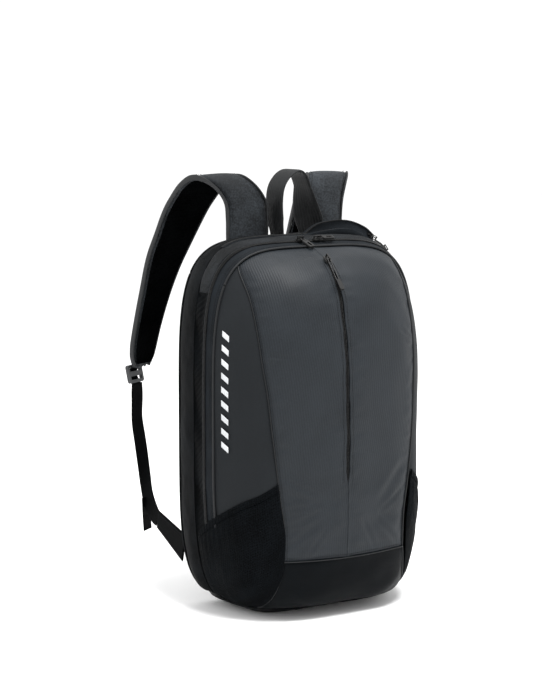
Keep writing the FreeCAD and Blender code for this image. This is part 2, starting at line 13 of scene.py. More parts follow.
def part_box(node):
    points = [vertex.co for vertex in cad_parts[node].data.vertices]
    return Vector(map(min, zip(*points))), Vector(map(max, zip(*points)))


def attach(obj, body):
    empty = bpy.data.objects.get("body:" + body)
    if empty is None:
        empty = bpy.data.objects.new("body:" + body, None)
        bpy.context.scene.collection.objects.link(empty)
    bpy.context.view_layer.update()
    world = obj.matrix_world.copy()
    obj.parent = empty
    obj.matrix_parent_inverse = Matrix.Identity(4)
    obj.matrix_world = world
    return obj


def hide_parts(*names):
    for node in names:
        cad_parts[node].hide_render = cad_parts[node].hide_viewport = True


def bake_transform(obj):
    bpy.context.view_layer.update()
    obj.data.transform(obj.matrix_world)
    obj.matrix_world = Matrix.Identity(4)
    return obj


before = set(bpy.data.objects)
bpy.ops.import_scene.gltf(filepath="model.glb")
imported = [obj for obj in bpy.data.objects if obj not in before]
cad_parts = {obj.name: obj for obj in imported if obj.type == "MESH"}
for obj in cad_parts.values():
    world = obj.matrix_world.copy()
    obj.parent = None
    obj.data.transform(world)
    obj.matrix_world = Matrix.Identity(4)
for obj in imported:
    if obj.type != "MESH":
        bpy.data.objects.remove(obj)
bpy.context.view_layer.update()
MM = 0.001

# ---- body form ----
# The CAD source's sections with a squarer front foot, and rows for the tip and the rear:
# depth, half width, lowest, highest, roundness of the upper half, roundness of the lower half
SECTIONS = np.array([
    (-89, 0.5, 150, 270, 2.2, 2.6),
    (-86, 36, 84, 330, 2.3, 3.0),
    (-82, 66, 46, 365, 2.5, 3.5),
    (-72, 102, 21, 418, 2.9, 4.8),
    (-55, 125, 14, 450, 3.2, 5.6),
    (-30, 144, 7, 472, 3.7, 5.8),
    (0, 158, -3, 484, 4.4, 5.0),
    (20, 163, -3, 491, 4.7, 5.0),
    (46, 163, -3, 498, 4.8, 5.0),
    (62, 163, -3, 499, 4.8, 5.0),
    (88, 160, -2, 493, 4.6, 4.5),
    (96, 158, -2, 491, 4.5, 4.5),
])
TIP_Y = -89
CORE_LOW = np.array((-95.0, 25.0, 120.0))     # panels are thrown outwards from this core
CORE_HIGH = np.array((95.0, 60.0, 380.0))

PIPING_Y = 2
ZIP_Y = 20
PLEAT_Y = (24.5, 46)
RACKET_Y = 46.5
BACK_Y = 90
BASE_TOP_Z = 12
BAND_TOP_Z = 83
ZIP_END_Z = 114
PLEAT_TOP_Z = 430
CENTRE_X = -8
SLIT_LOW_Z = 180
SLIT_HIGH_Z = 462
MESH_ROOM = 11
TAPER_SHARE = 0.05
TAPER_TOP_Z = 195
TAPER_REAR_Y = 70
TAPER_DEPTH = 60
LEFT_SEAM = [
    (-121, PIPING_Y, 462), (-122, -7, 447), (-122, -29, 422), (-121, -44, 386), (-119, -55, 341),
    (-115, -61, 303), (-111, -65, 257), (-107, -68, 217), (-102, -72, 166), (-98, -73, 133),
    (-98, -74, 104), (-99, -72, BAND_TOP_Z),
]
BAND_SEAM = [(-99, -72, BAND_TOP_Z), (-102, -67, 59), (-107, -57, 38), (-110, -40, 22), (-111, -22, 12)]
HEM = [(-104, -70, 186), (-124, -56, 171), (-141, -34, 158), (-158, 2, 135), (-163, 36, 113)]
HEM_HEIGHT = 8
MOUTH_X = (12, 116)
MOUTH_DEPTH = 16
SIDES = ((-1, "left"), (1, "right"))
CAST_STEPS = 26          # halvings in the search for the surface
OUTLINE_STEPS = 3000
CLOTH_STEPS = 20
CLOTH_PRESSURE = 4.0
CLOTH_STIFFNESS = 25
STITCH_PITCH = 3.4
STITCH_LENGTH = 2.2
TOOTH_PITCH = 1.7
TOOTH_LENGTH = 1.1
TAPE_POINTS = 41         # across each face of a webbing


# ---- curves ----

def run_length(path):
    """Distance along a path at each of its points."""
    return np.concatenate([[0], np.cumsum(np.linalg.norm(np.diff(path, axis=0), axis=1))])


def row_lengths(grid):
    """Distance along each row of a grid."""
    steps = np.linalg.norm(np.diff(grid, axis=1), axis=2)
    return np.concatenate([np.zeros((len(grid), 1)), np.cumsum(steps, 1)], 1)


def resample(points, count):
    """Points spread evenly along a polyline."""
    points = np.asarray(points, float)
    at = run_length(points)
    spread = np.linspace(0, at[-1], count)
    return np.stack([np.interp(spread, at, points[:, k]) for k in range(3)], 1)


def smooth_path(points, count):
    """Catmull-Rom curve through the points, spread evenly."""
    points = np.asarray(points, float)
    padded = np.vstack([2 * points[0] - points[1], points, 2 * points[-1] - points[-2]])
    fine = []
    for k in range(1, len(padded) - 2):
        a, b, c, d = padded[k - 1:k + 3]
        for t in np.linspace(0, 1, 16, endpoint=False):
            fine.append(0.5 * (2 * b + (c - a) * t + (2 * a - 5 * b + 4 * c - d) * t**2
                               + (3 * b - a - 3 * c + d) * t**3))
    fine.append(padded[-2])
    return resample(fine, count)


def smooth_values(values, count):
    """The same for single numbers, such as the widths along a strap."""
    column = np.stack([np.arange(len(values)) * 10.0, np.asarray(values, float), np.zeros(len(values))], 1)
    curve = smooth_path(column, 200)
    return np.interp(np.linspace(0, column[-1, 0], count), curve[:, 0], curve[:, 1])


def unit(vectors):
    return vectors / np.maximum(np.linalg.norm(vectors, axis=-1, keepdims=True), 1e-9)


def mirror(points):
    return np.asarray(points, float) * (-1, 1, 1)


def rounded(angle, x_power, z_power):
    """Points of a closed curve at these angles; smaller powers make it squarer."""
    x = np.sign(np.cos(angle)) * np.abs(np.cos(angle))**x_power
    z = np.sign(np.sin(angle)) * np.abs(np.sin(angle))**z_power
    return x, z


# ---- the body's surface ----

def section_table():
    """The sections against the root of the depth behind the tip, with their corners rounded off."""
    at = np.sqrt(SECTIONS[:, 0] - TIP_Y)
    fine = np.linspace(0, at[-1], 500)
    window = np.hanning(45)
    window /= window.sum()
    columns = []
    for column in SECTIONS[:, 1:].T:
        line = np.interp(fine, at, column)
        wide = np.concatenate([2 * line[0] - line[22:0:-1], line, 2 * line[-1] - line[-2:-24:-1]])
        columns.append(np.convolve(wide, window, mode="valid"))
    return fine, columns


TABLE_AT, TABLE = section_table()


def section_at(y):
    at = np.sqrt(np.clip(np.asarray(y, float) - TIP_Y, 0, None))
    return [np.interp(at, TABLE_AT, column) for column in TABLE]


def level(p):
    """1 on the body's surface, less inside it."""
    half, low, high, upper, lower = section_at(p[..., 1])
    middle = (low + high) / 2
    reach = np.maximum((high - low) / 2, 1e-3)
    power = np.where(p[..., 2] > middle, upper, lower)
    value = (np.abs(p[..., 0]) / np.maximum(half, 1e-3))**power + (np.abs(p[..., 2] - middle) / reach)**power
    return np.where(p[..., 1] < TIP_Y, 9.0, value)


def normals_at(p):
    slope = []
    for k in range(3):
        step = np.zeros(3)
        step[k] = 0.6
        slope.append(level(p + step) - level(p - step))
    return unit(np.stack(slope, -1))


def cast(heart, way, reach, inside):
    """How far each ray from heart goes before it leaves what inside() describes."""
    near = np.zeros(way.shape[:-1] + (1,))
    far = near + reach
    for _ in range(CAST_STEPS):
        middle = (near + far) / 2
        within = inside(heart + way * middle)[..., None]
        near, far = np.where(within, middle, near), np.where(within, far, middle)
    return near


def on_body(points, lift=0.0):
    """Points thrown from the core on to the body's surface, then lifted off it."""
    points = np.asarray(points, float)
    heart = np.clip(points, CORE_LOW, CORE_HIGH)
    way = unit(points - heart)
    found = heart + way * cast(heart, way, 260.0, lambda p: level(p) < 1)
    if np.any(lift):
        found = found + normals_at(found) * np.asarray(lift)[..., None]
    return found


def rim(y, start, end, count):
    """The body's outline at depth y, from the point nearest start to the point nearest end, over the top."""
    half, low, high, upper, lower = [float(v) for v in section_at(y)]
    middle, reach = (low + high) / 2, (high - low) / 2
    angle = np.linspace(-0.5 * math.pi, 1.5 * math.pi, OUTLINE_STEPS, endpoint=False)
    power = np.where(np.sin(angle) > 0, 2 / upper, 2 / lower)
    x, z = rounded(angle, power, power)
    line = np.stack([-half * x, np.full_like(x, y), middle + reach * z], 1)
    off = [((line - np.asarray(p, float)) ** 2)[:, [0, 2]].sum(1) for p in (start, end)]
    first, last = [int(np.argmin(o)) for o in off]
    piece = line[first:last + 1] if first <= last else line[last:first + 1][::-1]
    return resample(piece, count)


def band(y_low, y_high, start, end, count, rows):
    """Grid on the body between two depths."""
    return np.stack([rim(y, start, end, count) for y in np.linspace(y_low, y_high, rows)])


def coons(top, bottom, left, right, count, rows):
    """Grid between four edges on the body. left and right run from top to bottom."""
    top, bottom = on_body(smooth_path(top, count)), on_body(smooth_path(bottom, count))
    left, right = on_body(smooth_path(left, rows)), on_body(smooth_path(right, rows))
    u = np.linspace(0, 1, count)[None, :, None]
    v = np.linspace(0, 1, rows)[:, None, None]
    across = left[:, None] * (1 - u) + right[:, None] * u
    down = top[None] * (1 - v) + bottom[None] * v
    corners = ((1 - u) * (1 - v) * top[0] + u * (1 - v) * top[-1] + (1 - u) * v * bottom[0]
               + u * v * bottom[-1])
    return on_body(across + down - corners)


# ---- relief ----

def edge_distance(grid):
    """Distance from each grid point to the nearest edge of its panel, along the grid."""
    def to_end(g):
        at = row_lengths(g)
        return np.minimum(at, at[:, -1:] - at)
    return np.minimum(to_end(grid), to_end(grid.transpose(1, 0, 2)).T)


def inner_share(grid, fade):
    """0 at a panel's seams and near 1 away from them."""
    return 1 - np.exp(-edge_distance(grid) / fade)


def waves(points, size, seed, stretch=(1, 1, 1)):
    """Smooth noise from -1 to 1 over the points; size is its wavelength, larger along stretched axes."""
    scaled = points.reshape(-1, 3) / (size * np.asarray(stretch, float))
    shift = Vector((seed * 17.3, seed * 5.1, seed * 9.7))
    values = [noise.noise(Vector(p) + shift) for p in scaled]
    return np.array(values).reshape(points.shape[:-1]) * 1.6


def slack(grid, seed, amount=1.0, sink=1.4, fade=7.0):
    """How a sewn panel stands off its form: drawn in at its seams, softly uneven between them."""
    inner = inner_share(grid, fade)
    broad = waves(grid, 95, seed) * 1.5
    fine = waves(grid, 26, seed + 3, (1.0, 1.0, 1.8)) * 0.45
    return (broad + fine) * amount * inner + sink * inner - sink


def crease(points, start, end, width, depth):
    """A single fold between two places: a shallow valley with a raised lip beside it."""
    a, b = np.asarray(start, float), np.asarray(end, float)
    along = b - a
    share = np.clip(((points - a) @ along) / (along @ along), 0, 1)
    off = np.linalg.norm(points - (a + share[..., None] * along), axis=-1)
    ends = np.sin(np.pi * np.clip(share, 0.02, 0.98))**0.6
    return depth * ends * (-np.exp(-(off / width)**2) + 0.6 * np.exp(-((off - 1.9 * width) / width)**2))


# ---- meshes ----

def taper(points):
    """Draws the foot of the pouch in towards its lower front, as its sewn corners do."""
    points = np.array(points, float).reshape(-1, 3)
    low = np.clip((TAPER_TOP_Z - points[:, 2]) / TAPER_TOP_Z, 0, 1)
    fore = np.clip((TAPER_REAR_Y - points[:, 1]) / TAPER_DEPTH, 0, 1)
    ease = low**2 * (3 - 2 * low) * fore**2 * (3 - 2 * fore)
    points[:, 0] *= 1 - TAPER_SHARE * ease
    return points


def new_object(name, points, faces, material, uvs=None):
    mesh = bpy.data.meshes.new(name)
    mesh.from_pydata((taper(points) * MM).tolist(), [], faces)
    mesh.update()
    if uvs is not None:
        layer = mesh.uv_layers.new(name="UVMap")
        order = np.zeros(len(mesh.loops), int)
        mesh.loops.foreach_get("vertex_index", order)
        layer.data.foreach_set("uv", (np.asarray(uvs, float)[order] * MM).ravel())
    mesh.polygons.foreach_set("use_smooth", [True] * len(mesh.polygons))
    obj = bpy.data.objects.new(name, mesh)
    bpy.context.scene.collection.objects.link(obj)
    mesh.materials.append(material)
    return obj


def grid_faces(rows, count, closed=False):
    faces = []
    for r in range(rows - 1):
        for c in range(count if closed else count - 1):
            d = (c + 1) % count
            faces.append((r * count + c, r * count + d, (r + 1) * count + d, (r + 1) * count + c))
    return faces


def face_outwards(obj):
    """Turns a sheet's faces so that they look away from the middle of the bag."""
    mesh = obj.data
    middle = Vector((0, 0.04, 0.25))
    votes = sum((p.center - middle).dot(p.normal) for p in mesh.polygons)
    if votes < 0:
        mesh.flip_normals()


def thicken(obj, thick, offset=-1):
    """Thickness for a sheet, inwards from its outer face unless offset says otherwise."""
    shell = obj.modifiers.new("thickness", "SOLIDIFY")
    shell.thickness = thick * MM
    shell.offset = offset
    return shell


def sheet_mesh(name, grid, material, thick=2.0, lift=None, inside=None):
    """Cloth of real thickness from a grid of points, with its outer face on the grid."""
    rows, count = grid.shape[:2]
    if lift is not None:
        grid = grid + normals_at(grid) * lift[..., None]
    along = row_lengths(grid)
    down = row_lengths(grid.transpose(1, 0, 2)).T
    obj = new_object(name, grid.reshape(-1, 3), grid_faces(rows, count), material,
                     np.stack([along.ravel(), down.ravel()], 1))
    face_outwards(obj)
    shell = thicken(obj, thick)
    if inside is not None:
        obj.data.materials.append(inside)
        shell.material_offset = 1
    return obj


def frames_along(path, across=None):
    """Tangent, width direction and normal at each point of a path."""
    tangent = unit(np.gradient(path, axis=0))
    if across is None:
        across = np.cross(tangent, np.where(np.abs(tangent[:, 2:]) > 0.9, (1.0, 0, 0), (0, 0, 1.0)))
    across = unit(np.asarray(across, float))
    normal = unit(np.cross(tangent, across))
    return tangent, across, normal


def sweep(name, path, across, section, material):
    """Closed section swept along a path, with capped ends.

    section is (count, ring, 2): offsets across and along the normal.
    """
    _, across, normal = frames_along(path, across)
    points = (path[:, None] + across[:, None] * section[..., :1] + normal[:, None] * section[..., 1:])
    rows, ring = points.shape[:2]
    faces = grid_faces(rows, ring, closed=True)
    faces.append(tuple(range(ring))[::-1])
    faces.append(tuple((rows - 1) * ring + k for k in range(ring)))
    uvs = np.stack([section[..., 0].ravel(), np.repeat(run_length(path), ring)], 1)
    return new_object(name, points.reshape(-1, 3), faces, material, uvs)


def oval(widths, thicks, ring=28, power=2.6):
    """Rounded flat section for each step of a sweep."""
    angle = np.linspace(0, 2 * math.pi, ring, endpoint=False)
    x, y = rounded(angle, 2 / power, 2 / power)
    widths, thicks = np.asarray(widths, float), np.asarray(thicks, float)
    return np.stack([widths[:, None] / 2 * x, thicks[:, None] / 2 * y], -1)


def webbing(name, path, width, thick, across, material, ribs=0.0):
    """Woven tape that is thinner at its edges; ribs are ridges that run along it."""
    count = len(path)
    widths = np.broadcast_to(np.asarray(width, float), (count,))
    across_share = np.concatenate([np.linspace(-1, 1, TAPE_POINTS), np.linspace(1, -1, TAPE_POINTS)])
    edge = 1 - np.abs(across_share)**10
    face = np.concatenate([np.ones(TAPE_POINTS), -np.ones(TAPE_POINTS)])
    ridge = 1 + ribs * np.abs(np.sin(across_share * math.pi * 5))
    depth = face * thick / 2 * (0.35 + 0.65 * edge) * ridge
    depths = np.broadcast_to(depth, (count, 2 * TAPE_POINTS))
    section = np.stack([widths[:, None] / 2 * across_share, depths], -1)
    return sweep(name, path, across, section, material)


def tube(name, path, radius, material, ring=10):
    path = np.asarray(path, float)
    across = [2 * radius] * len(path)
    return sweep(name, path, None, oval(across, across, ring, 2), material)


def studs(name, path, normals, pitch, size, material, sharp=False):
    """A row of small shaped blocks along a path: zip teeth or stitches. size is along, across, high."""
    at = run_length(path)
    length = at[-1]
    count = max(int(length / pitch), 2)
    spots = (np.arange(count) + 0.5) * length / count
    centre = np.stack([np.interp(spots, at, path[:, k]) for k in range(3)], 1)
    up = unit(np.stack([np.interp(spots, at, normals[:, k]) for k in range(3)], 1))
    along = unit(np.gradient(centre, axis=0))
    across = unit(np.cross(up, along))
    up = np.cross(along, across)
    crest = 0.35 if sharp else 0.72
    shape = []
    for height, scale in ((-0.5, 1.0), (0.15, 1.0), (0.5, crest)):
        for a, b in ((-1, -0.6), (-0.6, -1), (0.6, -1), (1, -0.6), (1, 0.6), (0.6, 1), (-0.6, 1), (-1, 0.6)):
            shape.append((a * scale / 2, b * scale / 2, height))
    shape = np.array(shape) * np.asarray(size, float)
    points = (centre[:, None] + along[:, None] * shape[None, :, :1]
              + across[:, None] * shape[None, :, 1:2] + up[:, None] * shape[None, :, 2:])
    faces = []
    for k in range(count):
        o = k * 24
        for tier in (0, 8):
            for c in range(8):
                d = (c + 1) % 8
                faces.append((o + tier + c, o + tier + d, o + tier + 8 + d, o + tier + 8 + c))
        faces.append(tuple(o + c for c in range(7, -1, -1)))
        faces.append(tuple(o + 16 + c for c in range(8)))
    return new_object(name, points.reshape(-1, 3), faces, material)


def stitches(name, line, normals, width=0.55, height=0.5):
    size = (STITCH_LENGTH, width, height)
    return studs(name, line, normals, STITCH_PITCH, size, THREAD, sharp=True)


def teeth_row(name, line, normals, width=2.2, height=1.6):
    return studs(name, line, normals, TOOTH_PITCH, (TOOTH_LENGTH, width, height), TEETH)


def join(name, objects):
    """One object from several that look alike."""
    bpy.ops.object.select_all(action="DESELECT")
    for o in objects:
        o.select_set(True)
    bpy.context.view_layer.objects.active = objects[0]
    bpy.ops.object.join()
    objects[0].name = name
    objects[0].data.name = name
    return objects[0]


def mesh_points(mesh):
    return np.array([v.co for v in mesh.vertices], float).reshape(-1, 3)


def move_points(mesh, points):
    mesh.vertices.foreach_set("co", points.astype(np.float32).ravel())
    mesh.update()


def simulate(obj, cap, voxel=4.0):
    """Inflates a padded piece as cloth, and keeps each point within cap of where it started."""
    bpy.context.view_layer.objects.active = obj
    mesher = obj.modifiers.new("remesh", "REMESH")
    mesher.mode = "VOXEL"
    mesher.voxel_size = voxel * MM
    mesher.use_smooth_shade = True
    apply_all(obj)
    start = mesh_points(obj.data)
    cloth = obj.modifiers.new("cloth", "CLOTH")
    cloth.settings.quality = 4
    cloth.settings.use_pressure = True
    cloth.settings.uniform_pressure_force = CLOTH_PRESSURE
    cloth.settings.effector_weights.gravity = 0
    cloth.settings.tension_stiffness = CLOTH_STIFFNESS
    cloth.settings.compression_stiffness = CLOTH_STIFFNESS
    cloth.settings.bending_stiffness = 2
    for step in range(1, CLOTH_STEPS + 1):
        bpy.context.scene.frame_set(step)
    seen = obj.evaluated_get(bpy.context.evaluated_depsgraph_get()).to_mesh()
    end = mesh_points(seen)
    obj.modifiers.remove(cloth)
    bpy.context.scene.frame_set(1)
    move = end - start
    size = np.linalg.norm(move, axis=1, keepdims=True)
    move *= np.minimum(1, cap * MM / np.maximum(size, 1e-9))
    move_points(obj.data, start + move)
    finer = obj.modifiers.new("finer", "SUBSURF")
    finer.levels = 1
    apply_all(obj)
    return obj


def apply_all(obj):
    """Bakes an object's modifiers into its mesh."""
    graph = bpy.context.evaluated_depsgraph_get()
    baked = bpy.data.meshes.new_from_object(obj.evaluated_get(graph))
    obj.modifiers.clear()
    obj.data = baked
    baked.polygons.foreach_set("use_smooth", [True] * len(baked.polygons))


# ---- materials ----

def tone(grey, blue=0.0):
    """Linear colour of an sRGB grey from 0 to 255, a little bluer by that share."""
    def linear(v):
        v /= 255
        return v / 12.92 if v <= 0.04045 else ((v + 0.055) / 1.055)**2.4
    return (linear(grey * (1 - blue)), linear(grey), linear(grey * (1 + blue)), 1)


def add_node(tree, kind, **values):
    node = tree.nodes.new(kind)
    for key, value in values.items():
        if hasattr(node, key):
            setattr(node, key, value)
        else:
            node.inputs[key.replace("_", " ")].default_value = value
    return node


def stripes(tree, source, direction, period):
    """Even stripes of that period in millimetres across a direction."""
    wave = add_node(tree, "ShaderNodeTexWave", wave_type="BANDS", bands_direction=direction)
    wave.inputs["Scale"].default_value = 2 * math.pi / (20 * period * MM)
    tree.links.new(source, wave.inputs["Vector"])
    return wave.outputs["Fac"]


def maths(tree, operation, a, b):
    node = add_node(tree, "ShaderNodeMath", operation=operation)
    for socket, value in zip(node.inputs, (a, b)):
        if isinstance(value, (int, float)):
            socket.default_value = value
        else:
            tree.links.new(value, socket)
    return node.outputs[0]


def finish_material(tree, coordinates, colour, height, depth, rough, mottle, seed):
    """Colour and roughness that vary, and relief, on the material's own shader; low relief also darkens the
    colour as painted shade in the hollows of the weave.
    """
    shader = tree.nodes["Principled BSDF"]
    large = add_node(tree, "ShaderNodeTexNoise", noise_dimensions="4D", W=seed, Scale=22.0, Detail=4.0)
    fine = add_node(tree, "ShaderNodeTexNoise", noise_dimensions="4D", W=seed + 1, Scale=420.0, Detail=2.0)
    for node in (large, fine):
        tree.links.new(coordinates, node.inputs["Vector"])
    blend = maths(tree, "ADD", maths(tree, "MULTIPLY", large.outputs["Fac"], 0.5),
                  maths(tree, "MULTIPLY", fine.outputs["Fac"], 0.5))
    # random tone from blend, plus painted shade: the relief height darkens the colour where the weave, ribs
    # or mesh sit low
    tone_and_hollow_shade = maths(tree, "ADD", blend, maths(tree, "MULTIPLY", height, 0.18))
    ramp = add_node(tree, "ShaderNodeValToRGB")
    ramp.color_ramp.elements[0].position = 0.45
    ramp.color_ramp.elements[1].position = 0.72
    for element, scale in zip(ramp.color_ramp.elements, (1 - mottle, 1 + mottle)):
        element.color = tuple(c * scale for c in colour[:3]) + (1,)
    tree.links.new(tone_and_hollow_shade, ramp.inputs["Fac"])
    tree.links.new(ramp.outputs["Color"], shader.inputs["Base Color"])
    gloss = maths(tree, "ADD", maths(tree, "MULTIPLY", blend, 0.2), rough - 0.1)
    tree.links.new(gloss, shader.inputs["Roughness"])
    relief = maths(tree, "ADD", height, maths(tree, "MULTIPLY", fine.outputs["Fac"], 0.35))
    bump = add_node(tree, "ShaderNodeBump", Strength=0.7)
    bump.inputs["Distance"].default_value = depth * MM
    tree.links.new(relief, bump.inputs["Height"])
    tree.links.new(bump.outputs["Normal"], shader.inputs["Normal"])
    return shader


def new_material(name, coordinate="UV"):
    material = bpy.data.materials.new(name)
    material.use_nodes = True
    tree = material.node_tree
    source = add_node(tree, "ShaderNodeTexCoord").outputs[coordinate]
    return material, tree, source


def cloth_material(name, colour, rough=0.8, weave=0.9, depth=0.18, mottle=0.1, sheen=0.15, ribs=0.0,
                   coordinate="UV", seed=1.0, specular=0.5):
    """Woven cloth: two crossing yarn directions, and wider ribs where it has them."""
    material, tree, source = new_material(name, coordinate)
    warp = stripes(tree, source, "X", weave)
    weft = stripes(tree, source, "Z" if coordinate == "Object" else "Y", weave)
    height = maths(tree, "MULTIPLY", warp, weft)
    if ribs:
        wide = stripes(tree, source, "X", ribs)
        height = maths(tree, "ADD", maths(tree, "MULTIPLY", height, 0.4), wide)
    shader = finish_material(tree, source, colour, height, depth, rough, mottle, seed)
    shader.inputs["Sheen Weight"].default_value = sheen
    shader.inputs["Sheen Roughness"].default_value = 0.5
    shader.inputs["Specular IOR Level"].default_value = specular
    return material


def net_material(name, colour, cell=2.6, depth=0.5, coordinate="UV", seed=4.0, rough=0.7, specular=0.2):
    """Knitted mesh: rows of cells, their openings shown by painted shade in the cell middles."""
    material, tree, source = new_material(name, coordinate)
    cells = add_node(tree, "ShaderNodeTexVoronoi", feature="DISTANCE_TO_EDGE", Scale=1000 / cell,
                     Randomness=0.25)
    tree.links.new(source, cells.inputs["Vector"])
    # strand is low in the cell middles, which finish_material paints darker: painted shade where the open
    # cells would show the dark behind the mesh
    strand = maths(tree, "SUBTRACT", 0.8, maths(tree, "MULTIPLY", cells.outputs["Distance"], 2.4))
    shader = finish_material(tree, source, colour, strand, depth, rough, 0.75, seed)
    shader.inputs["Specular IOR Level"].default_value = specular
    return material


def moulded_material(name, colour, rough=0.5, metallic=0.0, grain=0.06, seed=7.0, specular=0.5):
    """Moulded plastic, rubber or painted metal with a fine grain."""
    material, tree, source = new_material(name, "Object")
    pits = add_node(tree, "ShaderNodeTexNoise", Scale=1500.0, Detail=3.0)
    tree.links.new(source, pits.inputs["Vector"])
    shader = finish_material(tree, source, colour, pits.outputs["Fac"], grain, rough, 0.12, seed)
    shader.inputs["Metallic"].default_value = metallic
    shader.inputs["Specular IOR Level"].default_value = specular
    return material


FRONT = cloth_material(
    "front_cloth", tone(31, 0.13), rough=0.5, weave=0.8, ribs=3.4, depth=0.16, mottle=0.22, sheen=0.0,
    seed=1.0, specular=0.2)
SIDE = cloth_material(
    "side_cloth", tone(30, 0.08), rough=0.75, weave=0.7, depth=0.08, mottle=0.12, sheen=0.02, seed=2.0,
    specular=0.11)
GUSSET = cloth_material(
    "gusset_cloth", tone(15, 0.15), rough=0.75, weave=1.4, depth=0.6, mottle=0.8, sheen=0.02, seed=3.0,
    specular=0.05)
PLEAT = cloth_material(
    "pleat_cloth", tone(8, 0.24), rough=0.7, weave=1.6, depth=0.6, mottle=0.8, sheen=0.02, seed=4.0,
    specular=0.03)
BASE = cloth_material(
    "base_cloth", tone(7, 0.35), rough=0.4, weave=1.0, depth=0.10, mottle=0.3, sheen=0.0, seed=5.0,
    specular=0.05)
STRAP = cloth_material(
    "strap_cloth", tone(44, 0.08), rough=0.72, weave=1.6, depth=0.5, mottle=0.7, sheen=0.02,
    coordinate="Object", seed=6.0, specular=0.18)
LINING = cloth_material(
    "lining_cloth", tone(70, 0.02), rough=0.7, weave=0.5, depth=0.08, seed=7.0, specular=0.3)
TAPE = cloth_material(
    "tape_cloth", tone(26, 0.15), rough=0.8, weave=0.7, depth=0.15, mottle=0.4, sheen=0.0, seed=8.0,
    specular=0.12)
BELT = cloth_material(
    "belt_cloth", tone(8, 0.1), rough=0.62, weave=1.5, depth=0.35, mottle=0.5, sheen=0.0, seed=9.0,
    specular=0.02)
HANDLE = cloth_material(
    "handle_cloth", tone(21, 0.06), rough=0.6, weave=1.6, ribs=4.4, depth=0.5, mottle=0.4, sheen=0.0,
    seed=10.0, specular=0.25)
PIPE = cloth_material(
    "piping_cloth", tone(20, 0.1), rough=0.5, weave=0.8, depth=0.1, sheen=0.0, seed=11.0, specular=0.25)
MESH = net_material("pocket_mesh", tone(9, 0.25), cell=3.4, depth=1.0, specular=0.03)
PADDING = net_material(
    "spacer_mesh", tone(5, 0.1), cell=3.2, coordinate="Object", seed=12.0, rough=0.85, specular=0.0)
BACK_MESH = net_material(
    "back_mesh", tone(25, 0.06), cell=3.6, depth=0.9, seed=19.0, rough=0.8, specular=0.12)
CROWN = cloth_material(
    "crown_cloth", tone(30, 0.08), rough=0.75, weave=1.6, depth=0.6, mottle=0.8, sheen=0.02, seed=20.0,
    specular=0.12)
TEETH = moulded_material("coil_plastic", tone(9, 0.05), rough=0.45, specular=0.3)
METAL = moulded_material(
    "black_metal", tone(12), rough=0.42, metallic=0.2, grain=0.02, seed=13.0, specular=0.5)
RUBBER = moulded_material("pull_rubber", tone(11), rough=0.45, seed=14.0, specular=0.35)
PLASTIC = moulded_material("buckle_plastic", tone(52, 0.03), rough=0.48, seed=15.0, specular=0.4)
BOARD = moulded_material("board_plastic", tone(60), rough=0.6, seed=16.0)
THREAD = cloth_material(
    "thread", tone(24, 0.08), rough=0.7, weave=0.4, depth=0.05, sheen=0.0, coordinate="Object", seed=17.0,
    specular=0.2)
PRINT = moulded_material("pale_print", tone(196, 0.01), rough=0.55, grain=0.02, seed=18.0)
GREY_EDGE = cloth_material(
    "grey_binding", tone(40, 0.03), rough=0.6, weave=0.9, depth=0.15, sheen=0.0, coordinate="Object",
    seed=19.0, specular=0.25)


# ---- camera, light and floor ----

CAMERA_AT = (-1.3966, -2.1506, 0.6791)
AIM_AT = (-0.0426, 0.0477, 0.3506)
LENS = 101.06


def aimed(name, data, place, target):
    """An object at place that looks at target."""
    obj = bpy.data.objects.new(name, data)
    bpy.context.scene.collection.objects.link(obj)
    obj.location = place
    obj.rotation_mode = "QUATERNION"
    obj.rotation_quaternion = (Vector(target) - Vector(place)).to_track_quat("-Z", "Y")
    return obj


def make_camera():
    data = bpy.data.cameras.new("camera")
    camera = aimed("camera", data, CAMERA_AT, AIM_AT)
    data.lens = LENS
    data.sensor_width = 36
    data.clip_end = 50
    bpy.context.scene.camera = camera


def area_light(name, place, power, size, target=(0, 0, 0.25)):
    data = bpy.data.lights.new(name, "AREA")
    data.energy = power
    data.size = size
    aimed(name, data, place, target)


def make_studio():
    area_light("key", (0.1, -1.2, 3.4), 125, 1.0, (0, 0, 0.5))
    area_light("fill", (2.8, -1.4, 1.0), 8, 2.0)
    area_light("rim", (-2.4, 1.6, 1.8), 14, 1.4)
    area_light("top", (0.2, 0.4, 2.8), 20, 1.8)
    bpy.context.scene.view_settings.view_transform = "Standard"
    world = bpy.data.worlds.new("studio")
    bpy.context.scene.world = world
    world.use_nodes = True
    back = world.node_tree.nodes["Background"]
    back.inputs["Color"].default_value = (1, 1, 1, 1)
    back.inputs["Strength"].default_value = 1.08
    pale = bpy.data.materials.new("pale_floor")
    pale.use_nodes = True
    shader = pale.node_tree.nodes["Principled BSDF"]
    shader.inputs["Base Color"].default_value = (0.95, 0.95, 0.95, 1)
    shader.inputs["Roughness"].default_value = 0.8
    size = 9000
    corners = [(-size, -size, -0.3), (size, -size, -0.3), (size, size, -0.3), (-size, size, -0.3)]
    floor = new_object("floor", corners, [(0, 1, 2, 3)], pale)


# ---- how pieces go with the bodies ----

def with_flap(obj, slot=None, *nodes):
    """Cloth of the front flap, with its placing baked into its mesh and the CAD nodes it stands for hidden.
    """
    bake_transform(obj)
    return declare(obj, slot, *nodes)


def with_body(obj, body, slot=None, *nodes):
    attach(obj, body)
    return declare(obj, slot, *nodes)


def declare(obj, slot, *nodes):
    if nodes:
        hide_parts(*nodes)
    return obj


# ---- pouch ----

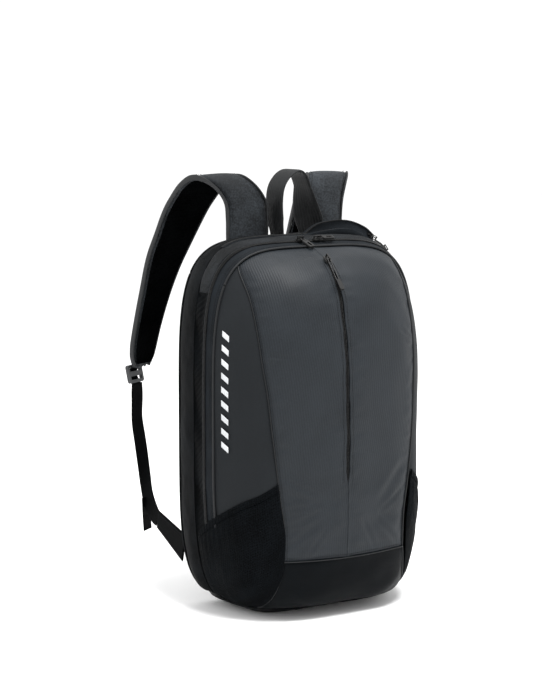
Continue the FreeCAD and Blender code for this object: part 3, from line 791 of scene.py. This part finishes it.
FRONT_FOLDS = {
    -1: [((-104, -70, 196), (-58, -83, 172), 3.0, 0.9), ((-103, -70, 176), (-50, -84, 158), 3.2, 1.0),
         ((-100, -71, 152), (-46, -84, 158), 2.8, 0.8), ((-99, -71, 128), (-48, -84, 146), 3.4, 1.1),
         ((-98, -72, 100), (-52, -83, 132), 3.6, 1.2), ((-70, -78, 88), (-40, -84, 124), 3.2, 0.9),
         ((-118, -58, 372), (-90, -70, 386), 2.8, 0.9), ((-116, -60, 352), (-84, -74, 350), 3.0, 0.7)],
    1: [((92, -72, 205), (44, -84, 150), 6.0, 1.3), ((92, -72, 168), (48, -84, 140), 3.4, 1.0),
        ((90, -72, 120), (46, -84, 134), 3.4, 1.1), ((82, -75, 90), (40, -84, 126), 3.6, 1.1),
        ((40, -81, 88), (16, -86, 130), 3.4, 0.9), ((116, -52, 356), (88, -69, 376), 3.0, 0.8)],
}


def centre_line(side):
    """Edge of a front panel along the centre zip; the slit is open where the zip runs."""
    points = [(0, PIPING_Y, 484), (0, -30, 470), (0, -54, 450), (0, -66, 432), (0, -75, 405), (0, -82, 360),
              (0, -86, 300), (0, -87, 240), (0, -87, 190), (0, -86, 150), (0, -84, 110), (0, -82, BAND_TOP_Z)]
    line = smooth_path(points, 90)
    z = line[:, 2]
    open_share = np.clip((z - SLIT_LOW_Z) / 18, 0, 1) * np.clip((SLIT_HIGH_Z + 6 - z) / 16, 0, 1)
    sway = 0.5 * np.sin(z / 17.0) + 0.35 * np.sin(z / 7.3 + side)
    line[:, 0] = CENTRE_X + side * (0.35 + 2.8 * open_share) + sway * open_share
    return line


def seam(side):
    line = np.array(LEFT_SEAM, float)
    if side > 0:
        line = mirror(line)
        low = np.clip((240 - line[:, 2]) / 90, 0, 1)
        line[:, 0] -= 6 * low
    return line


def band_seam(side):
    line = np.array(BAND_SEAM, float)
    if side > 0:
        line = mirror(line)
        line[:, 0] -= 6 * np.clip((line[:, 2] - 20) / 60, 0, 1)
    return line


def front_panel(side, word):
    outer, inner = seam(side), centre_line(side)
    top = rim(PIPING_Y, outer[0], inner[0], 40)
    bottom = [outer[-1], (side * 60, -79, BAND_TOP_Z), (CENTRE_X + side * 22, -82, BAND_TOP_Z), inner[-1]]
    grid = coons(top, bottom, outer, inner, 70, 190)
    lift = slack(grid, 5 + side, 0.9, 1.6)
    low = np.clip((215 - grid[..., 2]) / 110, 0, 1)
    far = edge_distance(grid)
    lift += waves(grid, 40, 8 + side, (1.5, 1, 0.5)) * 2.3 * low * (1 - np.exp(-far / 9))
    lift += waves(grid, 15, 18 + side, (2.6, 2, 0.6)) * 0.75 * np.exp(-((far - 11) / 10)**2)
    for start, end, width, depth in FRONT_FOLDS[side]:
        lift += crease(grid, start, end, width, depth)
    roll = np.exp(-np.linalg.norm(grid - grid[:, -1:], axis=2) / 2.4)
    lift += roll * 1.5
    obj = sheet_mesh("front_skin_" + word, grid, FRONT, 2.0, lift, LINING)
    nodes = ["front_panel_" + word] + (["front_foot"] if side < 0 else [])
    return with_flap(obj, "front_fabric", *nodes)


def side_skin(side, word):
    """Side panel, which carries on behind the mesh pocket as its inner wall."""
    outer = [p for p in LEFT_SEAM if p[2] > 120] + [(-99, -74, 100)]
    rear = rim(PIPING_Y + 1, outer[0], (-150, 3, 90), 40)
    top = [outer[0], (outer[0][0] - 0.6, PIPING_Y, outer[0][2] - 0.8), rear[0] + (-0.8, 0.4, -1.2)]
    bottom = [outer[-1], (-128, -44, 95), (-146, -20, 90), rear[-1]]
    grid = coons(top, bottom, outer, rear, 64, 170)
    lift = slack(grid, 11, 0.8, 1.3)
    hem = np.array(HEM, float)
    hem_z = np.interp(grid[..., 1], hem[:, 1], hem[:, 2])
    below = np.clip((hem_z - grid[..., 2]) / 26, 0, 1)
    lift -= MESH_ROOM * below * below * (3 - 2 * below) + 0.6 * np.clip(below * 3, 0, 1)
    lift += waves(grid, 46, 13, (1, 1, 2.2)) * 1.0 * np.clip((420 - grid[..., 2]) / 120, 0, 1)
    obj = sheet_mesh("side_skin_" + word, side_turn(grid, side), SIDE, 2.0, lift, LINING)
    return with_flap(obj, "side_fabric", "side_panel_" + word, "side_foot_" + word)


def side_turn(points, side):
    """Points drawn on the left, or their mirror image."""
    return points if side < 0 else mirror(points)


def seam_trim(side, word):
    """Piped seam between the front and side panels, with its row of stitches."""
    line = on_body(smooth_path(seam(side), 160))
    up = normals_at(line)
    cord = tube("seam_piping_" + word, line - up * 0.5, 1.0, PIPE, 8)
    with_flap(cord, "piping")
    inner = on_body(line + (-side * 3.6, 0, 0))
    row = stitches("seam_stitches_" + word, inner, normals_at(inner))
    with_flap(row)
    foot = on_body(smooth_path(band_seam(side), 50))
    with_body(tube("band_seam_piping_" + word, foot - normals_at(foot) * 0.2, 1.0, PIPE, 8), "pack", "piping")


def base_wrap():
    left, right = band_seam(-1), band_seam(1)
    top = [left[0], (-60, -79, BAND_TOP_Z), (0, -82, BAND_TOP_Z), (56, -80, BAND_TOP_Z), right[0]]
    bottom = [left[-1], (-80, -44, 11), (0, -52, 11), (80, -44, 11), right[-1]]
    grid = coons(top, bottom, left, right, 110, 46)
    lift = slack(grid, 21, 0.8, 1.0, 4) + waves(grid, 20, 22, (2.4, 1, 0.8)) * 0.7
    obj = sheet_mesh("base_skin", grid, BASE, 2.0, lift, LINING)
    with_body(obj, "pack", "base_fabric", "base_band")
    edge = on_body(smooth_path(top, 120), 0.5)
    with_body(tube("base_seam_piping", edge, 0.8, PIPE, 8), "pack", "piping")
    row = on_body(edge + (0, 0, 4.2), 0.1)
    with_flap(stitches("base_seam_stitches", row, normals_at(row)))


def ring_at(z, inset=0.0, count=120):
    """Level outline of the body at a height near the base."""
    turn = np.linspace(0, 2 * math.pi, count, endpoint=False)
    way = np.stack([np.cos(turn), np.sin(turn), np.zeros(count)], 1)
    heart = np.array((0.0, 14.0, z))
    out = cast(heart, way, 240.0, lambda p: (level(p) < 1) & (p[:, 1] < BACK_Y))
    return heart + way * (out - inset)


def base_floor():
    """Bottom panel: a shallow tray with a rolled edge."""
    tiers = [(13.5, 3.4), (13.5, 0.6), (9, 0.4), (5, 1.6), (2.2, 4.5), (0.4, 9), (0.0, 15), (0.0, 40),
             (0.2, 75)]
    rings = [ring_at(max(z, 4.0), inset) * (1, 1, 0) + (0, 0, z) for z, inset in tiers]
    count = len(rings[0])
    points = np.concatenate(rings)
    faces = grid_faces(len(rings), count, closed=True) + [tuple(range((len(rings) - 1) * count, len(points)))]
    obj = new_object("base_floor", points, faces, BASE, points[:, :2])
    face_outwards(obj)
    thicken(obj, 2)
    with_body(obj, "pack", "base_fabric", "base_panel")


# ---- mesh pockets ----

def hem_line(drop, count):
    line = smooth_path(HEM, count)
    line[:, 2] -= drop
    return line


def mesh_pocket(side, word):
    upper = hem_line(HEM_HEIGHT, 60)
    front = [(-103, -71, 178), (-101, -73, 150), (-97, -74, 120), (-98, -73, 92), (-101, -68, 62),
             (-107, -58, 38), (-112, -36, 13)]
    rear = rim(41, (-163, 41, 105), (-150, 41, 14), 30)
    upper = np.vstack([[front[0]], upper[2:-2], [rear[0]]])
    lower = [front[-1], (-124, -8, 12), (-136, 20, 12), rear[-1]]
    grid = coons(upper, lower, front, rear, 84, 90)
    inner = inner_share(grid, 8)
    top = np.exp(-np.linalg.norm(grid - grid[:1], axis=2) / 24)
    gathers = np.sin(np.arange(84) * 1.15)[None] * top * 0.9
    low = np.clip((grid[..., 2] - 20) / 110, 0, 1)
    lift = 1.0 + (0.6 + 2.0 * low) * inner + gathers * inner
    lift += waves(grid, 30, 31, (1, 1, 1.6)) * 1.2 * inner + waves(grid, 9, 32, (1, 1, 2.4)) * 0.35 * inner
    lift += crease(grid, (-112, -60, 150), (-150, -5, 60), 7, 1.4)
    lift += crease(grid, (-112, -50, 100), (-140, 10, 30), 7, 1.2)
    skin = sheet_mesh("mesh_skin_" + word, side_turn(grid, side), MESH, 1.0, lift)
    with_body(skin, "pack", "mesh", "mesh_pocket_" + word)
    strip = np.stack([on_body(hem_line(drop, 150)) for drop in np.linspace(-0.5, HEM_HEIGHT + 1, 9)])
    gather = np.sin(np.arange(150) * 0.95) * 0.2
    rise = 2.0 + gather[None] + np.sin(np.linspace(0, math.pi, 9))[:, None] * 0.6
    hem = sheet_mesh("hem_band_" + word, side_turn(strip, side), MESH, 1.6, rise)
    with_body(hem, "pack", "webbing", "pocket_hem_" + word)


# ---- zips ----

LOW_LEFT = (-163, 0, ZIP_END_Z)
LOW_RIGHT = (163, 0, ZIP_END_Z)
BASE_LEFT = (-150, 0, BASE_TOP_Z)
BASE_RIGHT = (150, 0, BASE_TOP_Z)


def main_zip():
    front = band(PIPING_Y + 1, ZIP_Y - 0.5, LOW_LEFT, LOW_RIGHT, 330, 9)
    sag = -0.9 + 0.5 * waves(front, 24, 41)
    tape = sheet_mesh("zip_tape_front", front, TAPE, 1.2, sag, LINING)
    with_flap(tape, "zip_tape", "main_zip_tape_front")
    rear = band(ZIP_Y + 0.5, PLEAT_Y[0], LOW_LEFT, LOW_RIGHT, 330, 5)
    tape = sheet_mesh("zip_tape_rear", rear, TAPE, 1.2, np.full(rear.shape[:2], -0.6), LINING)
    with_body(tape, "pack", "zip_tape", "main_zip_tape_rear")
    for name, y, wrap, node in (("zip_coil_front", ZIP_Y - 1.3, with_flap, "main_zip_teeth_front"),
                                ("zip_coil_rear", ZIP_Y + 1.3, None, "main_zip_teeth_rear")):
        line = rim(y, LOW_LEFT, LOW_RIGHT, 900)
        coil = teeth_row(name, line, normals_at(line), 2.3, 1.7)
        if wrap:
            with_flap(coil, "zip_teeth", node)
        else:
            with_body(coil, "pack", "zip_teeth", node)
    cord = rim(PIPING_Y, LOW_LEFT, LOW_RIGHT, 400)
    with_flap(tube("flap_cord", cord + normals_at(cord) * 0.4, 1.7, PIPE, 10), "piping", "flap_piping")
    for name, y in (("tape_stitches_a", PIPING_Y + 4.2), ("tape_stitches_b", PIPING_Y + 7.5)):
        line = rim(y, LOW_LEFT, LOW_RIGHT, 500)
        row = line + normals_at(line) * -0.7
        with_flap(stitches(name, row, normals_at(line), 0.5))


def centre_zip():
    line = centre_line(0)
    line = on_body(line[(line[:, 2] > SLIT_LOW_Z - 2) & (line[:, 2] < SLIT_HIGH_Z + 4)])
    line = smooth_path(line[::3], 160)
    up = normals_at(line)
    across = np.broadcast_to((1.0, 0, 0), line.shape)
    tape = webbing("centre_tape", line - up * 3.4, 22, 1.0, across, PLEAT)
    with_flap(tape, "zip_tape", "front_zip_tape")
    coils = []
    for side in (-1, 1):
        row = line - up * 1.8 + (side * 1.25, 0, 0)
        coils.append(teeth_row("centre_coil", row, up))
    with_flap(join("centre_coil", coils), "zip_teeth", "front_zip_teeth")
    for side, word in SIDES:
        row = on_body(line + (side * 7.0, 0, 0), 0.5)
        with_flap(stitches("centre_stitches_" + word, row, up, 0.5))


def racket_zip():
    """Closed part of the racket zip on the crown; the two open edges at the mouth are drawn by mouth_lips."""
    left_end, mouth = (-116, 0, 480), (MOUTH_X[0] - 2, 0, 498)
    closed = rim(RACKET_Y, left_end, mouth, 260)
    up = normals_at(closed)
    coils = [teeth_row("racket_coil", closed + up * 0.4 + (0, side * 1.2, 0), up, height=1.5)
             for side in (-1, 1)]
    with_body(join("racket_coil", coils), "pack", "zip_teeth")
    tape = band(RACKET_Y - 4, RACKET_Y + 4, left_end, mouth, 120, 7)
    with_body(sheet_mesh("racket_tape", tape, TAPE, 1.0, np.full(tape.shape[:2], 0.35)), "pack", "zip_tape")


# ---- rear half ----

def pleat(side, word):
    grid = band(PLEAT_Y[0], PLEAT_Y[1], BASE_LEFT, (-163, 0, PLEAT_TOP_Z), 420, 22)
    inner = inner_share(grid, 3.0)
    slant = np.sin((grid[..., 2] - 1.4 * (grid[..., 1] - 35)) / 15 + 1.7 * waves(grid, 60, 51))
    hatch = np.sin((grid[..., 2] + 0.8 * (grid[..., 1] - 35)) / 1.35 + 1.2 * waves(grid, 40, 53))
    lift = -0.4 - 3.0 * inner + slant * 1.7 * inner + waves(grid, 17, 52, (1, 0.8, 2.0)) * 1.3 * inner
    lift += hatch * 0.4 * inner
    obj = sheet_mesh("pleat_skin_" + word, side_turn(grid, side), PLEAT, 1.6, lift, LINING)
    with_body(obj, "pack", "pleat_fabric", "pleat_gusset_" + word)


def crown():
    grid = band(PLEAT_Y[0], PLEAT_Y[1], (-163, 0, PLEAT_TOP_Z), (163, 0, PLEAT_TOP_Z), 220, 16)
    lift = slack(grid, 55, 0.6, 0.8, 4)
    lift += waves(grid, 24, 56, (1.6, 1, 1)) * 0.8 + waves(grid, 6, 57, (1.6, 1, 1)) * 0.3
    obj = sheet_mesh("crown_skin", grid, CROWN, 2.0, lift, LINING)
    with_body(obj, "pack", "gusset_fabric", "crown_gusset")


def mouth_bow(x):
    share = np.clip((x - MOUTH_X[0]) / (MOUTH_X[1] - MOUTH_X[0]), 0, 1)
    return np.sin(math.pi * share) ** 0.8


def rear_gusset():
    """Outer wall of the racket compartment; on the right its front edge bows back round the mouth."""
    for side, word in SIDES:
        rows = 34
        first = rim(RACKET_Y, BASE_LEFT, (MOUTH_X[0] - 6, 0, 499), 2)[-1]
        start, end = (BASE_LEFT, first) if side < 0 else (first, BASE_RIGHT)
        grid = band(RACKET_Y + 0.6, BACK_Y, start, end, 300, rows)
        if side > 0:
            share = np.linspace(1, 0, rows)[:, None]
            top = np.clip((grid[..., 2] - 450) / 30, 0, 1)
            move = MOUTH_DEPTH * mouth_bow(grid[..., 0]) * share * top
            grid[..., 1] += move
            grid = np.where((top > 0)[..., None], settle(grid), grid)
        lift = slack(grid, 61 + side, 0.9, 1.2, 5)
        lift += 2.2 * np.sin(np.linspace(0, math.pi, rows))[:, None] * (grid[..., 2] < 470)
        far = inner_share(grid, 6)
        lift += (waves(grid, 40, 63, (1, 1, 1.8)) * 1.6 + waves(grid, 11, 64, (1, 1, 1.5)) * 0.5) * far
        obj = sheet_mesh("rear_skin_" + word, grid, GUSSET, 2.0, lift, LINING)
        with_body(obj, "pack", "gusset_fabric", "rear_gusset_" + word)
        line = rim(RACKET_Y, BASE_LEFT, (-150, 0, 440), 220)
        row = side_turn(line, side)
        edge = tube("gusset_piping_" + word, row - normals_at(row) * 0.5, 1.1, PLEAT, 8)
        with_body(edge, "pack", "piping")
        rear = side_turn(rim(BACK_Y, BASE_LEFT, (-2, 0, 495), 300), side)
        edge = tube("back_piping_" + word, rear + normals_at(rear) * 0.1, 1.8, GUSSET, 10)
        with_body(edge, "pack", "piping")


def settle(grid):
    """Heights of crown points set anew for their depth."""
    half, low, high, upper, _ = section_at(grid[..., 1])
    middle = (low + high) / 2
    share = np.clip(np.abs(grid[..., 0]) / half, 0, 0.9999)
    out = grid.copy()
    out[..., 2] = middle + (high - middle) * (1 - share**upper)**(1 / upper)
    return out


def mouth_lips():
    """The mouth's two edges stand up as soft folds that carry the open zip."""
    front = [(8, 46, 497), (26, 44.5, 500), (45, 43, 502.5), (68, 42.5, 504), (88, 44, 501), (103, 46, 495)]
    rear = [(8, 47, 498), (24, 55, 505), (42, 61, 511), (72, 66, 514), (97, 65, 512), (116, 56, 503),
            (124, 48, 492)]
    for name, top_line, depth, node in (("mouth_fold_front", front, 0.0, "mouth_lip_front"),
                                        ("mouth_fold_rear", rear, MOUTH_DEPTH, "mouth_lip_rear")):
        top = smooth_path(top_line, 90)
        foot = top.copy()
        foot[:, 1] = RACKET_Y - 0.5 + depth * mouth_bow(foot[:, 0]) + (1.0 if depth else -0.5)
        foot = settle(foot)
        foot[:, 2] -= 2.5
        share = np.linspace(0, 1, 14)[:, None, None]
        grid = foot[None] * (1 - share) + top[None] * share
        grid[..., 1] += np.sin(share[..., 0] * math.pi) * (1.6 if depth else -0.8)
        grid[..., 2] = np.maximum(grid[..., 2], foot[None, :, 2])
        obj = sheet_mesh(name, grid, TAPE, 1.6)
        with_body(obj, "pack", "zip_tape", node)
        away = unit(np.cross(np.gradient(top, axis=0), (0, 0, 1.0)))
        inward = away if depth else -away
        upright = np.broadcast_to((0, 0, 1.0), top.shape)
        coil = teeth_row(name + "_coil", top + (0, 0, -0.6) + inward * 1.2, upright)
        with_body(coil, "pack", "zip_teeth")


def disc(y, inset, rings, count, lift):
    """Grid of rings that fills the body's outline at depth y."""
    half, low, high, upper, lower = [float(v) for v in section_at(y)]
    low = max(low, BASE_TOP_Z - inset)
    angle = np.linspace(0, 2 * math.pi, count, endpoint=False)
    middle, reach = (low + high) / 2, (high - low) / 2 - inset
    power = np.where(np.sin(angle) > 0, 2 / upper, 2 / lower)
    x, z = rounded(angle, power, power)
    x, z = (half - inset) * x, reach * z
    share = np.linspace(1, 0.02, rings)[:, None]
    points = np.stack([x * share, np.full((rings, count), float(y)), middle + z * share], -1)
    points[..., 1] += lift(points)
    return points


def disc_mesh(name, points, material, thick):
    rings, count = points.shape[:2]
    faces = grid_faces(rings, count, closed=True) + [tuple((rings - 1) * count + k for k in range(count))]
    flat = points.reshape(-1, 3)
    obj = new_object(name, flat, faces, material, flat[:, [0, 2]])
    thicken(obj, thick, 0)
    return obj


def back_panel():
    def shape(p):
        rim_share = np.clip((np.abs(p[..., 0]) - 120) / 40, 0, 1)
        return waves(p, 60, 71) * 0.6 - 1.6 * rim_share**3
    obj = disc_mesh("back_skin", disc(BACK_Y + 1.4, 0.0, 30, 200, shape), BACK_MESH, 2.4)
    with_body(obj, "pack", "back_fabric", "back_panel")
    sheet = disc_mesh("divider_sheet", disc(42.5, 6, 20, 140, lambda p: waves(p, 70, 72) * 1.1), LINING, 1.6)
    with_body(sheet, "pack", "lining", "divider_panel")
    liner = disc(-17.3, 15.5, 22, 140, lambda p: waves(p, 60, 73) * 1.2)
    liner[..., 2] = np.maximum(liner[..., 2], 86)
    sheet = disc_mesh("liner_sheet", liner, LINING, 1.2)
    with_flap(sheet, "lining", "pocket_liner", "pocket_liner_foot")


CUSHION_RINGS = ((0.2, 0.97), (1.4, 0.99), (4.0, 0.985), (6.0, 0.955), (7.0, 0.90), (7.4, 0.6), (7.6, 0.2))
CUSHION_POINTS = 96
QUILT_Z = (150, 245, 340)


def back_cushion(word):
    low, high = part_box("back_pad_" + word)
    x0, x1, z0, z1 = low.x / MM, high.x / MM, low.z / MM, high.z / MM
    centre = ((x0 + x1) / 2, (z0 + z1) / 2)
    count = CUSHION_POINTS
    across, upright = rounded(np.linspace(0, 2 * math.pi, count, endpoint=False), 0.45, 0.22)
    rings = []
    for depth, shrink in CUSHION_RINGS:
        x = centre[0] + (x1 - x0) / 2 * shrink * across
        z = centre[1] + ((z1 - z0) / 2 - (1 - shrink) * 40) * upright
        rings.append(np.stack([x, np.full(count, 91.2 + depth), z], 1))
    points = np.concatenate(rings)
    faces = grid_faces(len(rings), count, closed=True)
    faces += [tuple(range(count))[::-1], tuple(range(len(points) - count, len(points)))]
    obj = new_object("back_cushion_" + word, points, faces, BACK_MESH, points[:, [0, 2]])
    simulate(obj, 3.0, voxel=4.5)
    place = mesh_points(obj.data) / MM
    rise = np.clip((place[:, 1] - 95) / 4, 0, 1)
    for height in QUILT_Z:
        place[:, 1] -= rise * 3.6 * np.exp(-((place[:, 2] - height) / 5.0)**2)
    place[:, 1] = np.maximum(place[:, 1], 91.1)
    move_points(obj.data, place * MM)
    with_body(obj, "pack", "back_fabric", "back_pad_" + word)
    border = centre[0] + (x1 - x0) / 2 * 0.985 * across
    height = centre[1] + (z1 - z0) / 2 * 0.996 * upright
    loop = np.stack([border, np.full(count, 92.6), height], 1)
    line = resample(loop[list(range(count)) + [0]], 260)
    with_body(tube("cushion_binding_" + word, line, 1.5, GREY_EDGE, 8), "pack", "piping")


# ---- straps ----

STRAP_PATH = [
    (-50, 97.5, 470), (-50, 97, 500), (-50, 97, 519), (-53, 96, 540), (-66, 97, 559), (-82, 104, 572),
    (-92, 118, 574),
    (-98, 136, 563), (-101, 155, 546), (-105, 170, 527), (-110, 190, 494), (-115, 211, 458), (-118, 228, 422),
    (-122, 243, 380), (-125, 256, 338), (-126, 265, 300),
]
STRAP_WIDTHS = [60, 61, 62, 63, 66, 68, 68, 67, 66, 65, 62, 58, 55, 53, 51, 40]
STRAP_TURNS = [0, 0, 0, 0, 0, 0, 2, 4, 8, 11, 15, 18, 20, 22, 24, 26]
STRAP_LEAN = [1, 1, 1, 0.9, 0.5, 0.1] + [0] * 10
RIGHT_LEAN = 20
WEB_PATH = [
    (-130.7, 267.9, 278.2), (-131, 267, 255), (-134, 262, 227), (-135, 252, 200), (-137, 240, 173),
    (-141, 225, 147), (-147, 205, 124), (-151, 180, 107), (-152, 167, 102),
]
WEB_ACROSS = [(0.90, 0.44, 0)] * 4 + [
    (0.91, 0.41, 0), (0.93, 0.37, 0), (0.85, 0.3, 0.45), (0.35, -0.35, 0.85), (0.05, -0.5, 0.86),
]
LOCK_PASSAGE = [(-128, 268, 304), (-134.4, 272.6, 297), (-134.8, 273.2, 288), (-131, 268.6, 277)]
TAIL_PATH = [(-146, 214.5, 125), (-146, 213, 102), (-146, 210, 79)]


def with_strap(obj, word, slot, *nodes):
    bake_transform(obj)
    return declare(obj, slot, *nodes)


def strap_line(side, count):
    lean = RIGHT_LEAN if side > 0 else 0
    raw = [(x - lean * share, y, z) for (x, y, z), share in zip(STRAP_PATH, STRAP_LEAN)]
    path = smooth_path(raw, count)
    turns = np.radians(smooth_values(STRAP_TURNS, count))
    across = np.stack([np.cos(turns), np.sin(turns), np.zeros(count)], 1)
    return path, across, smooth_values(STRAP_WIDTHS, count)


def place_points(obj, side):
    """Mirrors a finished mesh on to the right side."""
    if side > 0:
        for v in obj.data.vertices:
            v.co.x = -v.co.x
        obj.data.flip_normals()
    return obj


def shoulder_strap(side, word):
    path, across, widths = strap_line(side, 150)
    ends = np.clip(np.minimum(np.arange(150), np.arange(150)[::-1]) / 6, 0.35, 1)**0.5
    pad = sweep("strap_skin_" + word, path, across, oval(widths * ends**0.4, 9.5 * ends, 36, 3.0), STRAP)
    simulate(pad, 1.2, voxel=4.0)
    place_points(pad, side)
    with_strap(pad, word, "gusset_fabric", "shoulder_strap_" + word, "strap_root_" + word)
    _, level_across, normal = frames_along(path, across)
    angle_up = np.array((0.0, 0.3, 0.8))
    if (normal[40] @ angle_up) < 0:
        normal = -normal
    edges = []
    for way in (-1, 1):
        line = path + level_across * (widths * ends**0.4 / 2 * way)[:, None]
        section = oval([3.4] * 148, [7.6] * 148, 14, 2.4)
        binding = sweep("strap_edge", line[1:-1], across[1:-1], section, GREY_EDGE)
        edges.append(place_points(binding, side))
    with_strap(join("strap_binding_" + word, edges), word, "piping")
    seams = []
    for way in (-1, 1):
        line = path + level_across * (widths / 2 * way - 6.0 * way)[:, None] + normal * 4.1
        row = stitches("strap_row", line[4:-4], normal[4:-4], height=0.6)
        seams.append(place_points(row, side))
    with_strap(join("strap_stitches_" + word, seams), word, None)
    low = path - normal * 5.0
    lining = sweep("strap_lining_" + word, low[3:-3], across[3:-3],
                   oval((widths - 9)[3:-3], [2.6] * 144, 30, 4.0), PADDING)
    with_strap(place_points(lining, side), word, "back_fabric", "strap_mesh_" + word)


def lower_webbing(side, word):
    path = smooth_path(WEB_PATH, 90)
    across = smooth_path(WEB_ACROSS, 90)
    belt = webbing("webbing_" + word, path, 24, 1.8, across, BELT)
    with_body(place_points(belt, side), "strap_" + word, "webbing", "lower_webbing_" + word)
    passage = smooth_path(LOCK_PASSAGE, 24)
    passage_across = np.broadcast_to(WEB_ACROSS[0], (24, 3))
    through = webbing("lock_webbing_" + word, passage, 22, 1.5, passage_across, BELT)
    with_body(place_points(through, side), "strap_" + word)
    tail = smooth_path(TAIL_PATH, 30)
    turn = math.radians(35)
    tail_across = np.broadcast_to((math.cos(turn), math.sin(turn), 0), (30, 3))
    loose = webbing("tail_" + word, tail, 24, 1.8, tail_across, BELT)
    with_body(place_points(loose, side), "webbing_tail_" + word, "webbing", "webbing_tail_" + word)
    tab_path = np.stack([np.full(40, -152.0), np.linspace(94, 167.2, 40), np.linspace(76, 102, 40)], 1)
    heights = np.interp(np.linspace(0, 1, 40), (0, 1), (40, 26))
    tab = webbing("tab_" + word, tab_path, heights, 2.4, np.broadcast_to((0, -0.25, 0.97), (40, 3)), BELT)
    with_body(place_points(tab, side), "strap_" + word, "webbing", "wing_tab_" + word)
    rows = []
    for z_way in (-1, 1):
        line = tab_path + np.stack([np.full(40, -1.4), -0.25 * z_way * (heights / 2 - 4),
                                    0.97 * z_way * (heights / 2 - 4)], 1)
        outward = np.broadcast_to((-1.0, 0, 0), (36, 3))
        rows.append(studs("tab_row", line[2:-2], outward, 3.2, (2.1, 0.5, 0.6), THREAD, sharp=True))
    with_body(place_points(join("tab_stitches_" + word, rows), side), "strap_" + word)


# ---- handle ----

def carry_handle():
    path = [(-11.2, 82, 487), (-11.5, 83, 499), (-12.3, 86, 515), (-12.4, 88, 540), (-9, 88, 561),
            (2, 88, 576), (15, 88, 582), (25, 88, 577), (32, 88, 562), (36, 87, 540), (40, 84, 516),
            (42, 82, 499), (43, 81, 487)]
    line = smooth_path(path, 120)
    low = np.clip((line[:, 2] - 499) / 20, 0, 1)
    widths = 34 + 9 * low
    turn = np.radians(np.clip((560 - line[:, 2]) / 50, 0, 1) * 42 * (line[:, 0] > 15))
    across = np.stack([-np.sin(turn), np.cos(turn), np.zeros(120)], 1)
    obj = webbing("handle_loop", line, widths, 3.0, across, HANDLE, ribs=0.35)
    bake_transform(obj)
    declare(obj, "webbing", "carry_handle")


# ---- print, hardware ----

BAR_COUNT = 9
BAR_TOP_Z = 368
BAR_PITCH = 18
BAR_SLANT = 0.55


def side_print():
    """A plain column of slanted bars."""
    bars = []
    for k in range(BAR_COUNT):
        z = BAR_TOP_Z - k * BAR_PITCH
        spots = [[(-150, -22 + back, z + up + BAR_SLANT * back) for back in np.linspace(0, 13, 7)]
                 for up in np.linspace(0, 7.5, 5)]
        grid = on_body(np.array(spots))
        bar = sheet_mesh("bar", grid, PRINT, 0.5, np.full(grid.shape[:2], 1.9))
        apply_all(bar)
        bars.append(bar)
    with_flap(join("side_bars", bars))


def dress(material, *nodes):
    """Gives carried-over CAD nodes a finished material."""
    for node in nodes:
        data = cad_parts[node].data
        data.materials.clear()
        data.materials.append(material)


LOOP_REACH = 7.4         # half length of the grip's loop
LOOP_MIDDLE = 16.2       # from the pivot to the middle of the loop
LOOP_HALF = 3.3
LOOP_RADIUS = 1.5


def puller_loop(word, pivot, along, across):
    """Moulded grip that runs round the rim of a main zip puller."""
    turn = np.linspace(0, 2 * math.pi, 49)
    reach = np.clip(np.cos(turn) * 1.5, -1, 1) * LOOP_REACH + LOOP_MIDDLE
    width = np.clip(np.sin(turn) * 1.25, -1, 1) * LOOP_HALF
    line = np.array(pivot) + reach[:, None] * unit(np.array(along)) + width[:, None] * unit(np.array(across))
    grip = tube("puller_grip_" + word, resample(line, 60), LOOP_RADIUS, RUBBER, 10)
    with_body(grip, "main_puller_" + word)


def hardware():
    puller_loop("left", (-16.0, 16.1, 495.7), (0.25, -1, -0.5), (0.9755, 0.2074, 0.0729))
    puller_loop("right", (10.0, 16.1, 495.7), (1, -0.08, -0.03), (0.0851, 0.9404, 0.3292))
    for name in ("main_slider_left", "main_slider_right", "racket_slider_inner", "racket_slider_outer",
                 "front_slider"):
        dress(METAL, name)
        dress(RUBBER, name.replace("slider", "puller"))
    dress(PLASTIC, "ladder_lock_left", "ladder_lock_right")
    dress(BOARD, "back_board", "base_board")


# ---- all of it ----

make_camera()
make_studio()
for side, word in SIDES:
    front_panel(side, word)
    side_skin(side, word)
    seam_trim(side, word)
    mesh_pocket(side, word)
    pleat(side, word)
    back_cushion(word)
    shoulder_strap(side, word)
    lower_webbing(side, word)
base_wrap()
base_floor()
main_zip()
centre_zip()
racket_zip()
crown()
rear_gusset()
mouth_lips()
back_panel()
carry_handle()
side_print()
hardware()
